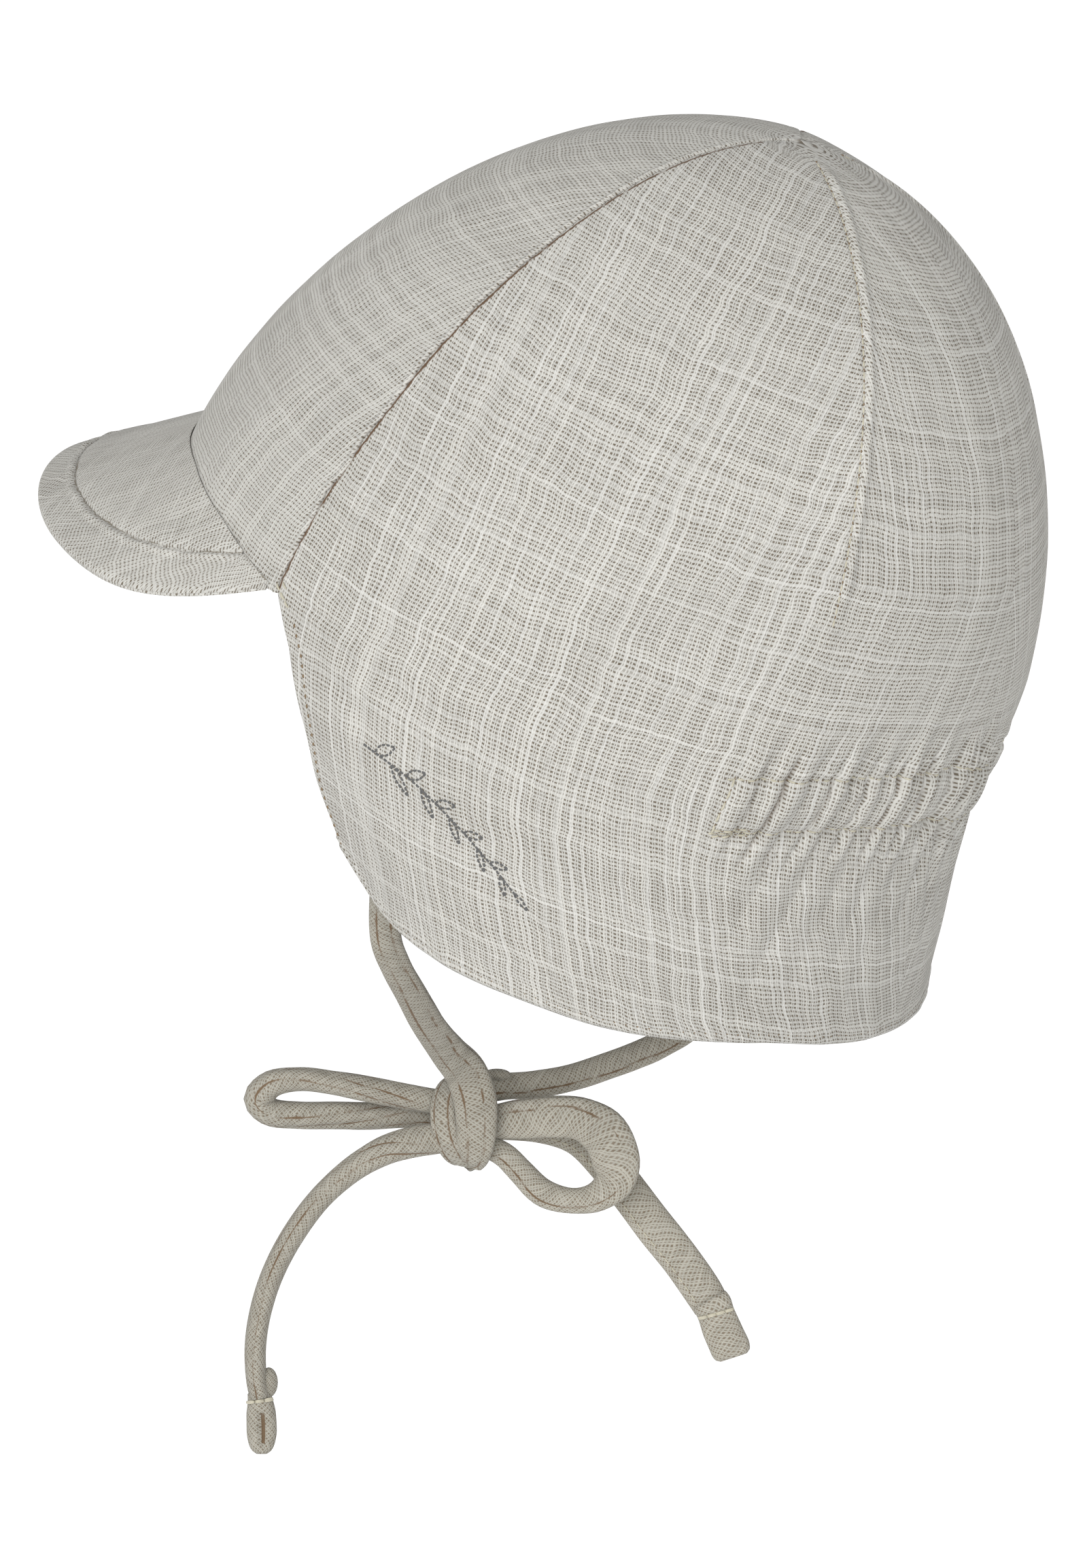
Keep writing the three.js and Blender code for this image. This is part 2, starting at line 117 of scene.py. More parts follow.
# A flat grid of faces, to be shaped by moving its vertices: the piece, and each vertex's column and row.
def startGrid(name, columns, rows):
    clearSelection()
    bpy.ops.mesh.primitive_grid_add(x_subdivisions=columns, y_subdivisions=rows, size=2)
    piece = bpy.context.object
    piece.name = name
    spots = (vertexSpots(piece) + 1) / 2
    return piece, np.rint(spots[:, 0] * columns).astype(int), np.rint(spots[:, 1] * rows).astype(int)


def startBall(segments, rings):
    clearSelection()
    bpy.ops.mesh.primitive_uv_sphere_add(segments=segments, ring_count=rings, radius=1)
    piece = bpy.context.object
    return piece, vertexSpots(piece)


def moveTo(piece, points):
    piece.data.vertices.foreach_set("co", (np.asarray(points) * mm).ravel())
    piece.data.update()


def cornerVertices(piece):
    corners = np.empty(len(piece.data.loops), int)
    piece.data.loops.foreach_get("vertex_index", corners)
    return corners


def layCloth(piece, u, v):  # the cloth's own measure, one value a corner, in decimetres
    flat = np.column_stack([u, v]) / 100
    piece.data.uv_layers.active.data.foreach_set("uv", flat.ravel())


def mark(piece, name, values):
    layer = piece.data.attributes.new(name, "FLOAT", "POINT")
    layer.data.foreach_set("value", np.asarray(values, np.float32))


def thicken(piece):  # gives a cloth its wall, on the inner side
    pick(piece)
    bpy.ops.object.modifier_add(type="SOLIDIFY")
    wall = piece.modifiers[-1]
    wall.thickness = crown["wall"] * mm
    wall.offset = -1
    wall.use_rim = True
    bpy.ops.object.modifier_apply(modifier=wall.name)


def editMesh(piece, *steps):
    pick(piece)
    bpy.ops.object.mode_set(mode="EDIT")
    bpy.ops.mesh.select_all(action="SELECT")
    for step in steps:
        step()
    bpy.ops.object.mode_set(mode="OBJECT")


def closeUp(piece):  # joins what meets, closes open ends and turns the faces outward
    editMesh(piece,
             lambda: bpy.ops.mesh.remove_doubles(threshold=0.004 * mm),
             lambda: bpy.ops.mesh.fill_holes(sides=0),
             lambda: bpy.ops.mesh.normals_make_consistent(inside=False))


def dress(piece, material, slot, *nodes):
    pick(piece)
    bpy.ops.object.shade_smooth()
    piece.data.materials.clear()
    piece.data.materials.append(material)
    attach(piece, "root")
    if nodes:
        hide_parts(*nodes)


# the camera, at the photograph's angle

camera = dict(azimuth=118, elevation=10, away=1800, pixelsPerMm=8.01, frameWide=1596, frameHigh=2306,
              originX=896.0, originY=919.9, sensor=36)


def setCamera():
    a, e = math.radians(camera["azimuth"]), math.radians(camera["elevation"])
    back = np.array([math.sin(a) * math.cos(e), -math.cos(a) * math.cos(e), math.sin(e)])
    right = np.array([math.cos(a), math.sin(a), 0])
    turned = np.column_stack([right, np.cross(back, right), back, back * camera["away"] * mm])
    clearSelection()
    bpy.ops.object.camera_add()
    eye = bpy.context.object
    eye.name = "camera"
    eye.matrix_world = Matrix([*turned.tolist(), [0, 0, 0, 1]])
    long = camera["frameHigh"]
    eye.data.sensor_width = camera["sensor"]
    eye.data.lens = camera["sensor"] * camera["pixelsPerMm"] * camera["away"] / long
    eye.data.shift_x = (camera["frameWide"] / 2 - camera["originX"]) / long
    eye.data.shift_y = (camera["originY"] - long / 2) / long
    eye.data.clip_end = 100
    bpy.context.scene.camera = eye


setCamera()
print("camera set")


# shader wiring: a Wire is a socket that takes arithmetic, and a Bench adds the nodes of one material

class Wire:
    def __init__(self, bench, socket):
        self.bench = bench
        self.socket = socket

    def maths(self, operation, *values):
        return self.bench.node("ShaderNodeMath", dict(operation=operation), *values)

    def between(self, low, high):  # 0 at low, 1 at high, eased
        eased = dict(interpolation_type="SMOOTHSTEP")
        return self.bench.node("ShaderNodeMapRange", eased, self, low, high, 0, 1)


def addMaths(word, operation, backward=False):  # one more kind of arithmetic for every Wire
    def reckon(wire, *others):
        return wire.maths(operation, *others, wire) if backward else wire.maths(operation, wire, *others)
    setattr(Wire, word, reckon)


for word, operation in (("add", "ADD"), ("sub", "SUBTRACT"), ("mul", "MULTIPLY"), ("truediv", "DIVIDE")):
    addMaths(f"__{word}__", operation)
    addMaths(f"__r{word}__", operation, backward=True)
for word, operation in (("floor", "FLOOR"), ("fraction", "FRACT"), ("size", "ABSOLUTE"), ("sine", "SINE"),
                        ("over", "MAXIMUM")):
    addMaths(word, operation)


class Bench:
    def __init__(self, name):
        self.material = bpy.data.materials.new(name)
        self.material.use_nodes = True
        self.nodes = self.material.node_tree.nodes
        self.links = self.material.node_tree.links
        self.shader = self.nodes["Principled BSDF"]

    def node(self, kind, settings, *values, output=0, **named):
        node = self.nodes.new(kind)
        for key, value in settings.items():
            setattr(node, key, value)
        for key, value in [*enumerate(values), *named.items()]:
            self.feed(node.inputs[key], value)
        return Wire(self, node.outputs[output])

    def feed(self, socket, value):
        if isinstance(value, Wire):
            self.links.new(value.socket, socket)
        elif value is not None:
            socket.default_value = value

    def attribute(self, name):
        return self.node("ShaderNodeAttribute", dict(attribute_name=name), output=2)

    def place(self, x, y, z=0):
        return self.node("ShaderNodeCombineXYZ", {}, x, y, z)

    def noise(self, place, scale, detail=1.0):
        return self.node("ShaderNodeTexNoise", {}, Vector=place, Scale=scale, Detail=detail)

    def cloud(self, x, y, seed, detail=2.0):
        return self.noise(self.place(x, y, seed), 1.0, detail)

    def chance(self, x, y=0):  # one random number for each whole pair
        return self.node("ShaderNodeTexWhiteNoise", {}, self.place(x, y))

    def mix(self, factor, first, second):  # of two colours, which are its inputs 6 and 7
        unused = [None] * 5
        return self.node("ShaderNodeMix", dict(data_type="RGBA"), factor, *unused, first, second, output=2)

    def finish(self, colour, height, depth, **others):
        bump = self.node("ShaderNodeBump", {}, Strength=1.0, Distance=depth * mm, Height=height)
        look = dict(Base_Color=colour, Roughness=0.9, Specular_IOR_Level=0.2, Normal=bump, **others)
        for key, value in look.items():
            self.feed(self.shader.inputs[key.replace("_", " ")], value)
        return self.material


# muslin: an open plain weave of pale threads, with thick slub yarns both ways and darker gaps

muslinLook = dict(
    warpPair=1.11,       # mm from one pair of warp threads to the next
    pairGap=0.19,        # how far a pair's threads lie from its middle, as a share of that
    weftPitch=0.75,      # mm from one weft thread to the next
    warpHalf=0.075,      # half the width of a thin warp thread, mm
    weftHalf=0.165,      # and of a thin weft thread
    uneven=0.12,         # how much thicker some threads are, mm
    slubEvery=3.0,       # mm from one place of a slub yarn to the next
    slubShare=0.85,      # of those places have one
    slubWidth=0.33,      # half the width of a slub yarn, mm
    slubCover=0.8,       # how far a slub yarn closes the gaps under it
    thread=(0.51, 0.5, 0.465, 1),
    slub=(0.545, 0.538, 0.51, 1),
    gap=(0.11, 0.085, 0.055, 1),
    behind=(0.31, 0.28, 0.235, 1),
    # painted shade: the colour of the dark lines in seams and creases, and of the crease shade of the gathers
    line=(0.13, 0.075, 0.04, 1),
    lineWobble=0.9,      # how far a dark line strays, mm
    lineBreaks=0.35,     # how often a dark line is broken, for each mm
    depth=0.1,           # how far the threads stand out, mm
)


def slubYarns(bench, across, along, look, seed):  # 1 on a slub yarn; each comes and goes along its way
    x = across / look["slubEvery"]
    cell = x.floor()
    wander = (bench.cloud(along * 0.14, cell * 3.3, seed) - 0.5) * 0.16
    centre = 0.5 + (bench.chance(cell, seed + 3.0) - 0.5) * 0.5 + wander
    away = (x - cell - centre).size() * look["slubEvery"]
    there = bench.chance(cell, seed + 7.0).between(0.96 - look["slubShare"], 1.25 - look["slubShare"])
    comes = bench.cloud(along * 0.045, cell * 3.7, seed, 1.0).between(0.3, 0.6)
    thick = bench.cloud(along * 0.32, cell * 9.1, seed + 4) * 1.2 + 0.35
    onYarn = (away / thick).between(look["slubWidth"] * 1.2, look["slubWidth"] * 0.7)
    return onYarn * there * (comes * 0.6 + 0.3)


def fineYarns(bench, line, along, seed):  # how thick each single thread is, from 0 to 1
    own = bench.chance(line, seed)
    return bench.cloud(along * 0.22, line * 5.3, seed) * 0.75 + own * own * 0.55 - 0.1


def muslin(name, slubs=1.0, tone=1.0, bias=False, paintedCreaseShade=False, lines=(), **changes):
    look = {**muslinLook, **changes}
    bench = Bench(name)
    parts = bench.node("ShaderNodeSeparateXYZ", {}, bench.node("ShaderNodeUVMap", {}))
    u = parts * 100
    v = Wire(bench, parts.socket.node.outputs[1]) * 100
    if bias:  # cut at 45 degrees
        u, v = (u + v) * diagonal, (v - u) * diagonal

    def cloud(across, along, seed, detail=2.0):
        return bench.cloud(u * across, v * along, seed, detail)

    def stray(across, along, seed, far, detail=2.0):
        return (cloud(across, along, seed, detail) - 0.5) * far
    # the threads wander slowly over the whole cloth, and quicker across their own way
    slow, quick = 3.3, 1.3
    u, v = (u + stray(0.055, 0.055, 2.0, slow) + stray(0.05, 0.22, 4.0, quick),
            v + stray(0.055, 0.055, 9.0, slow) + stray(0.22, 0.05, 7.0, quick))
    warpSlub = slubYarns(bench, u, v, look, 1.0) * slubs
    weftSlub = slubYarns(bench, v, u, look, 21.0) * (slubs * 0.8)
    slub = warpSlub.over(weftSlub)
    # warp threads lie in pairs, weft threads singly
    pair = u / look["warpPair"] + stray(0.9, 1.1, 14.0, 0.2, 1.0)
    row = v / look["weftPitch"] + stray(1.1, 0.9, 17.0, 0.26, 1.0)
    fromWarp = ((pair.fraction() - 0.5).size() - look["pairGap"]).size() * look["warpPair"]
    fromWeft = (row.fraction() - 0.5).size() * look["weftPitch"]
    warpThick = fineYarns(bench, (pair * 2).floor(), v, 31.0)
    weftThick = fineYarns(bench, row.floor(), u, 47.0)
    soft = 0.06  # how gently a thread ends at its sides, mm
    warp = (fromWarp - (warpThick * look["uneven"] + look["warpHalf"])).between(soft, -soft)
    weft = (fromWeft - (weftThick * look["uneven"] + look["weftHalf"])).between(soft, -soft)
    crossing = (pair * turn).sine() * (row * math.pi).sine() * 0.42
    height = (warp * (0.58 + crossing)).over(weft * (0.58 - crossing)).over(slub * 1.1)
    gaps = bench.mix(cloud(0.8, 0.8, 3.0) * 0.7, look["gap"], look["behind"])
    threads = bench.mix(slub, look["thread"], look["slub"])
    colour = bench.mix(warp.over(weft).over(slub * look["slubCover"]), gaps, threads)
    blotch, fuzz = cloud(0.04, 0.04, 6.0, 3.0), cloud(2.6, 2.6, 8.0)
    # the threads' tone varies at random with blotches, fuzz and thickness, and the raised crossings are
    # painted a little lighter, painted light on the weave
    shade = (0.69 + blotch * 0.16 + fuzz * 0.12 + warpThick.over(weftThick) * 0.2 + height * 0.06
             + warp * 0.11) * tone
    colour = bench.mix(1.0, colour, bench.node("ShaderNodeCombineColor", {}, shade, shade, shade))
    colour.socket.node.blend_type = "MULTIPLY"
    # painted shade: the fold attribute darkens the creases of the gathers, standing for the shade in them
    if paintedCreaseShade:
        colour = bench.mix(bench.attribute("fold") * 0.45, colour, look["line"])
    # painted shade: each dark line stands for the shade in the seam or crease that its attribute measures
    # from
    for attribute, where, wide in lines:  # dark lines where the cloth is pinched into a seam
        wobble = stray(0.5, 0.5, 1.0, look["lineWobble"])
        near = (bench.attribute(attribute) - where + wobble).size().between(wide, wide * 0.35)
        some = bench.noise(bench.place(u, v, 12.0), look["lineBreaks"], 2.0).between(0.24, 0.44)
        colour = bench.mix(near * some, colour, look["line"])
    return bench.finish(colour, height, look["depth"], Sheen_Weight=0.12)


crownMuslin = muslin("crownMuslin", paintedCreaseShade=True, lines=(("seamMm", 0.35, 0.48),))
frontMuslin = muslin("frontMuslin", slubs=0.45, slubEvery=3.2, slubWidth=0.46, warpHalf=0.085, weftHalf=0.17)
peakMuslin = muslin("peakMuslin", slubs=0.35, slubEvery=2.6, slubWidth=0.4, depth=0.06,
                    line=(0.24, 0.21, 0.165, 1), lines=(("weltMm", 0.0, 0.2),))
tieLook = dict(slubs=0.6, bias=True, warpPair=0.9, weftPitch=0.58, warpHalf=0.09, weftHalf=0.115, uneven=0.06,
               slubEvery=5.0, slubWidth=0.4, thread=(0.55, 0.525, 0.45, 1), slub=(0.56, 0.54, 0.475, 1),
               gap=(0.27, 0.215, 0.15, 1), behind=(0.39, 0.335, 0.26, 1), line=(0.17, 0.115, 0.07, 1),
               lineWobble=0.3, lineBreaks=0.09, lines=(("edgeMm", 0.0, 0.26),))
# painted light: one tie cloth in two copies, the near one painted darker where the lamp falls on it and the
# far one painted lighter against the cap's shadow on it
nearMuslinDarkCopy = muslin("nearMuslinDarkCopy", tone=0.65, **tieLook)
farMuslinLightCopy = muslin("farMuslinLightCopy", tone=0.72, **tieLook)


def plainThread(name, colour):
    bench = Bench(name)
    place = bench.node("ShaderNodeTexCoord", {}, output=3)
    grain = bench.noise(place, 900.0, 2.0)
    shaded = bench.mix(grain, tuple(c * 0.7 for c in colour[:3]) + (1,), colour)
    return bench.finish(shaded, grain, 0.08)


seamThread = plainThread("seamThread", (0.60, 0.565, 0.45, 1))
clothThread = plainThread("clothThread", (0.52, 0.50, 0.44, 1))
# painted shade: the dark colour of the blobs set in the holes between stitches
pitShade = plainThread("pitShade", (0.26, 0.19, 0.12, 1))
greyThread = plainThread("greyThread", (0.15, 0.15, 0.148, 1))
print("materials made")


# the shape of the crown

crown = dict(lean=23, wall=1.6, seamAngle=65.3, dartAngle=142.2, halfWidth=72.2, height=100,
             frontReach=86.3, backReach=77.6)
# depth, plan angle
frontEdge = [(0, 65.6), (4, 67.4), (9, 68.7), (19, 68.5), (31, 66.4), (42, 65.5)]
# plan angle, depth
hemDepth = [(66.6, 41.5), (70.4, 45.2), (73.6, 47.3), (80, 48.3), (103, 48.1), (115.6, 47.4), (127.8, 45.5),
            (140, 43.5), (153, 42), (168, 42.1), (180, 42)]
elastic = dict(
    start=133.5,         # plan angle of its ends
    width=10.8,
    sag=4.5,             # how much lower it runs on the right side
    pitch=3.6,           # degrees from one gather to the next
    slant=0.1,
    lean=0.22,           # slant of the gathers below it
    proud=0.9,           # how far its channel stands out
    pinch=0.5,           # how deep its stitch rows lie
    gather=2.6,          # height of the gathers in the channel
    spill=1.7,           # and of those that run out above and below it
)
creases = dict(
    groove=0.3,          # depth of the dart's crease
    welt=0.5,            # height of the welt on its back side
    ridge=1.5,           # height of the ridge where side and back meet at the dart
    fold=0.35,           # depth of the soft fold under the dart's end
    fan=0.24,            # height of the small creases at the corner of the peak
    flapWave=0.7,        # height of the flap's soft waves
    hollow=0.7,          # how far the back is drawn in over its whole height
    nape=1.5,            # and just above the elastic
    uneven=(0.45, 0.13),  # slow and quick unevenness of the whole cloth
)
# plan angle, height of the elastic's lower row
elasticRow = [(134, -4.8), (139, -3.6), (146, -2.5), (154, -1.5), (180, 0)]
# height over that row, how far the nape is drawn in
drawIn = [(-40, 0), (-31, 0.9), (-17, 2.1), (-8, 2.9), (0, 3.7), (4, 3.2), (11, 1.8), (18, 0.7), (27, 0)]


def mirrored(angle):
    return np.where(angle > 180, 360 - angle, angle)


def stand(x, y, w):
    lean = math.radians(crown["lean"])
    return np.stack([x, math.cos(lean) * y + math.sin(lean) * w, math.cos(lean) * w - math.sin(lean) * y], -1)


def byQuarter(angle, front, side, back):  # a value that changes evenly from front to sides to back
    c, s = np.cos(np.radians(angle)), np.sin(np.radians(angle))
    return front * np.maximum(0, c) ** 2 + side * s ** 2 + back * np.maximum(0, -c) ** 2


def arch(angle):
    return byQuarter(angle, 1.16, 1.28, 0.95)


def plainShape(angle, w):
    c, s = np.cos(np.radians(angle)), np.sin(np.radians(angle))
    rise = np.arccos(np.clip(w / crown["height"], 0, 1) ** (1 / arch(angle)))
    reach = np.sin(rise) ** byQuarter(angle, 1.2, 1.0, 0.89)
    ahead = np.where(c > 0, crown["frontReach"], crown["backReach"])
    low = np.minimum(w, 0)
    eased = -low - 9 * (1 - np.exp(low / 9))
    middle = 0.52 * eased
    lowReach = ahead + np.where(c > 0, -0.72 * eased, 0.1 * eased - middle)
    wide = crown["halfWidth"] - 0.0045 * low ** 2 + 0.02 * low
    over = w >= 0
    return stand(np.where(over, crown["halfWidth"] * reach, wide) * s,
                 np.where(over, -ahead * c * reach, middle - lowReach * c), w)


def outward(angle, w):
    top = crown["height"]
    low = np.where(w > 0, np.maximum(w - 0.4, 0), w - 0.4)
    high = np.minimum(np.where(w >= 0, w + 0.4, np.minimum(w + 0.4, 0)), top)
    along = plainShape(angle + 0.5, w) - plainShape(angle - 0.5, w)
    away = unit(np.cross(along, plainShape(angle, high) - plainShape(angle, low)))
    return np.where((w > top - 0.05)[..., None], stand(0, 0, 1), away)


def elasticHeight(angle):
    sag = np.where(angle > 180, elastic["sag"] * np.sin(math.pi * np.clip((angle - 178) / 50, 0, 1)), 0)
    return readCurve(elasticRow, mirrored(angle)) - sag


def ripple(angle, w, seed, count, fine):
    return waves(seed, count, fine, np.radians(angle) * 75, w)


def swell(angle, w, seed, count, fine):  # the same all round the crown, where it meets itself again
    a = np.radians(angle)
    return waves(seed, count, fine, 75 * np.sin(a), 75 * np.cos(a), w)


def runOut(over, aboveFor, belowFor, power=2):  # 1 in the elastic's channel, less above and below it
    above, below = np.maximum(over - elastic["width"], 0), np.maximum(-over, 0)
    return np.exp(-(above / aboveFor) ** 2) * np.exp(-(below / belowFor) ** power)


def relief(angle, w):
    m = mirrored(angle)
    over = w - elasticHeight(angle)
    width = elastic["width"]
    out = -readCurve(drawIn, over) * smooth(m, 128, 158)
    # the channel of the elastic stands proud between its two pinched stitch rows
    held = smooth(m, elastic["start"], elastic["start"] + 2)
    channel = np.sin(math.pi * np.clip(over / width, 0, 1)) ** 0.6
    pinched = bell(over, 0, 0.9) + bell(over, width, 0.9)
    out = out + held * (elastic["proud"] * channel - elastic["pinch"] * pinched)
    # gathers, fine in the channel and wider where they run out above and below it
    uneven = 0.5 + 2.2 * np.abs(ripple(angle, w * 0.25, 5, 5, 0.13))
    phase = gatherPhase(angle, w, over)
    fine = (np.abs(np.sin(phase)) ** 0.6 - 0.7) * runOut(over, 5, 6)
    wide = (np.abs(np.sin(phase * 0.5 + 1.0)) ** 0.8 - 0.6) * runOut(over, 8, 16, 1.3)
    out = out + uneven * smooth(m, 133, 141) * (elastic["gather"] * fine + elastic["spill"] * wide)
    # the dart: a crease with a raised welt on its back side, and a soft fold under its end
    long = smooth(w, 35, 50) * (1 - smooth(w, 98.5, 99.8))
    fromDart = (m - crown["dartAngle"]) * dartScale(w)
    dart = creases["welt"] * bell(fromDart, 0.9, 0.7) - creases["groove"] * bell(fromDart, -0.3, 0.4)
    under = bell(m, crown["dartAngle"] + 2, 4) * smooth(w, 10, 34) * (1 - smooth(w, 38, 56))
    out = out + long * dart - creases["fold"] * under
    # the cloth turns at the dart, so that side and back meet in a low ridge
    out = out + creases["ridge"] * np.exp(-np.abs(fromDart) / 9) * smooth(w, 12, 50) * (1 - smooth(w, 62, 97))
    # small creases fan out from the corner of the peak
    aside = (m - 63) * 1.25
    back = 8 * smooth(-w, -3, 5)
    fanned = np.sin(20 * np.arctan2(w + 1, aside) + 2 * ripple(angle, w, 27, 4, 0.06))
    fanned = fanned * bell(np.hypot(w, aside), 20, 13)
    out = out + creases["fan"] * fanned * smooth(m, 66.3 + back, 69.5 + 1.5 * back)
    # the flap hangs in soft waves, the back is drawn in, and the whole cloth is a little uneven
    wave = np.sin(np.radians((m - 70) * 7.3) + w * 0.02) * smooth(-w, 6, 26) * (1 - smooth(m, 118, 134))
    hollow = smooth(m, 140, 165) * smooth(w, 10, 26) * (1 - smooth(w, 90, 99))
    out = out + creases["flapWave"] * wave - creases["hollow"] * hollow
    out = out - creases["nape"] * smooth(m, 142, 158) * bell(over, 13, 9)
    slow, quick = creases["uneven"]
    calm = 1 - smooth(w, 88, 98)
    return out + calm * (slow * swell(angle, w, 3, 7, 0.08) + quick * swell(angle, w, 4, 9, 0.3))


def gatherPhase(angle, w, over):
    m = mirrored(angle)
    slant = elastic["slant"] * over + elastic["lean"] * np.minimum(over, 0)
    return (m - 134 - slant) / elastic["pitch"] * turn / 2 + 1.6 * ripple(angle, w * 0.2, 8, 4, 0.08)


# painted shade: this depth sets how dark the crown's colour is painted in the creases of the gathers
def foldShade(angle, w):  # how deep a place lies in the creases of the gathers, from 0 to 1
    over = w - elasticHeight(angle)
    crease = 1 - smooth(np.abs(np.sin(gatherPhase(angle, w, over))), 0.0, 0.3)
    some = smooth(ripple(angle * 1.7, w * 0.5, 15, 5, 0.2), -0.12, 0.25)
    return crease * some * runOut(over, 3.5, 5) * smooth(mirrored(angle), 135, 142)


def dartScale(w):  # millimetres to a degree of plan angle at the dart
    rise = np.arccos(np.clip(w / crown["height"], 0, 1) ** (1 / 1.1))
    return 1.3 * np.maximum(np.sin(rise), 0.02)


def clothPoint(angle, w, under=0.0):
    return plainShape(angle, w) + outward(angle, w) * (relief(angle, w) - under)[..., None]


# Rows of the crown by a way down from the top: up to 90 it is the rise in degrees,
# and past 90 the share of the flaps' depth.
def wayDown(count, lowest):
    def density(s):
        return (0.7 + 2.4 * smooth(s, 80, 84) * (1 - smooth(s, 95, 99)) + 0.5 * smooth(s, 95, 99)
                + 4 * bell(s, lowest, 1.6))
    return spread(density, 0, lowest, count)


def riseHeight(angle, rise):
    return crown["height"] * np.maximum(0, np.cos(np.radians(np.minimum(rise, 90)))) ** arch(angle)


# The cloth's own measure along its threads, which run with the panel's middle line
# and are cut off by its seams.
arcAngles = np.linspace(0, 360, 1401)
arcHeights = np.linspace(-50, crown["height"], 151)
arcGrid = plainShape(*np.meshgrid(arcAngles, arcHeights))
arcAround, arcUp = wayAlong(arcGrid, 1), wayAlong(arcGrid)


def lookUp(table, angle, w):
    i = np.clip((w - arcHeights[0]) / (arcHeights[1] - arcHeights[0]), 0, len(arcHeights) - 1.001)
    j = np.clip(angle / (arcAngles[1] - arcAngles[0]), 0, len(arcAngles) - 1.001)
    a, b = i.astype(int), j.astype(int)
    s, t = i - a, j - b
    return ((1 - s) * ((1 - t) * table[a, b] + t * table[a, b + 1])
            + s * ((1 - t) * table[a + 1, b] + t * table[a + 1, b + 1]))


def wayRound(start, stop, w):
    return lookUp(arcAround, stop, w) - lookUp(arcAround, start, w)


def perDegree(angle, w):  # millimetres to a degree of plan angle
    return np.maximum(np.abs(wayRound(angle - 0.5, angle + 0.5, w)), 0.02)


def clothMeasure(angle, w, middle):
    return wayRound(middle, angle, w), lookUp(arcUp, middle, w)


# crown_body: sides, back, ear flaps and neck guard

bodyLook = dict(columns=304, rows=158, lowest=118.0, hemRoll=2.6, hemProud=0.35, sideMiddle=104)


def makeCrownBody():
    piece, column, row = startGrid("crownBody", bodyLook["columns"], bodyLook["rows"])
    seam, lowest = crown["seamAngle"], bodyLook["lowest"]

    def density(k):
        m = mirrored(seam + k * (360 - 2 * seam))
        return (0.8 + 5 * bell(k, 0, 0.008) + 5 * bell(k, 1, 0.008) + 2.5 * bell(m, crown["dartAngle"], 1.8)
                + 1.3 * smooth(m, 130, 136))
    k = spread(density, 0, 1, bodyLook["columns"] + 1)[column]
    down = wayDown(bodyLook["rows"] + 1, lowest)[bodyLook["rows"] - row]
    drop = np.clip((down - 90) / (lowest - 90), 0, 1)
    edge = np.where(drop > 0, readCurve(frontEdge, drop * frontEdge[-1][0]), seam)
    angle = edge + k * (360 - 2 * edge)
    depth = readCurve(hemDepth, mirrored(angle))
    w = np.where(drop > 0, -drop * depth, riseHeight(angle, down))
    aboveHem = (1 - drop) * depth
    fromEdge = np.minimum(angle - edge, 360 - edge - angle) * perDegree(angle, w)
    seamThere = smooth(w, -0.5, 1.5)
    # the rolled hem and the folded front edge of the flap, and the side tucked under the front at the seam
    hem = bodyLook["hemProud"] * smooth(aboveHem, bodyLook["hemRoll"] + 0.5, bodyLook["hemRoll"] - 0.3)
    hem = hem - 0.55 * bell(aboveHem, 0, 0.5) - 0.25 * bell(aboveHem, 1.75, 0.35)
    tucked, folded = 0.3 * (1 - smooth(fromEdge, 0.4, 1.3)), 0.5 * bell(fromEdge, 0, 0.5)
    out = np.where(drop > 0, hem, 0) - tucked * seamThere - folded * (1 - seamThere)
    moveTo(piece, clothPoint(angle, w) + outward(angle, w) * out[:, None])
    # the distance from the seam sets where the painted shade line of its groove lies
    mark(piece, "seamMm", np.where((seamThere > 0.5) & (w < 99.2), fromEdge - 0.66, 9))
    corners = cornerVertices(piece)
    layBodyCloth(piece, angle[corners], w[corners], k[corners])
    thicken(piece)
    # the painted crease shade goes on the outside only, whose vertices come first
    fold = np.zeros(len(piece.data.vertices))
    fold[:len(w)] = foldShade(angle, w)
    mark(piece, "fold", fold)
    dress(piece, crownMuslin, "crown_muslin", "crown_body")
    return piece


def layBodyCloth(piece, angle, w, k):
    def ofFace(values):  # for each corner, the mean of its face's four
        return values.reshape(-1, 4).mean(1).repeat(4)
    onRight = ofFace(k) > 0.5
    m = np.where(onRight, 360 - angle, angle)
    middle = bodyLook["sideMiddle"]
    uSide, v = clothMeasure(m, w, middle)
    uBack = wayRound(middle, 180, np.minimum(w, 45)) - wayRound(m, 180, w)
    u = np.where(ofFace(m) > crown["dartAngle"], uBack, uSide)
    layCloth(piece, np.where(onRight, 2 * wayRound(middle, 180, 0) - u, u), v)


crownBody = makeCrownBody()
print("crown body made")


# crown_front: the front panel

frontLook = dict(columns=130, rows=120, lap=0.25)


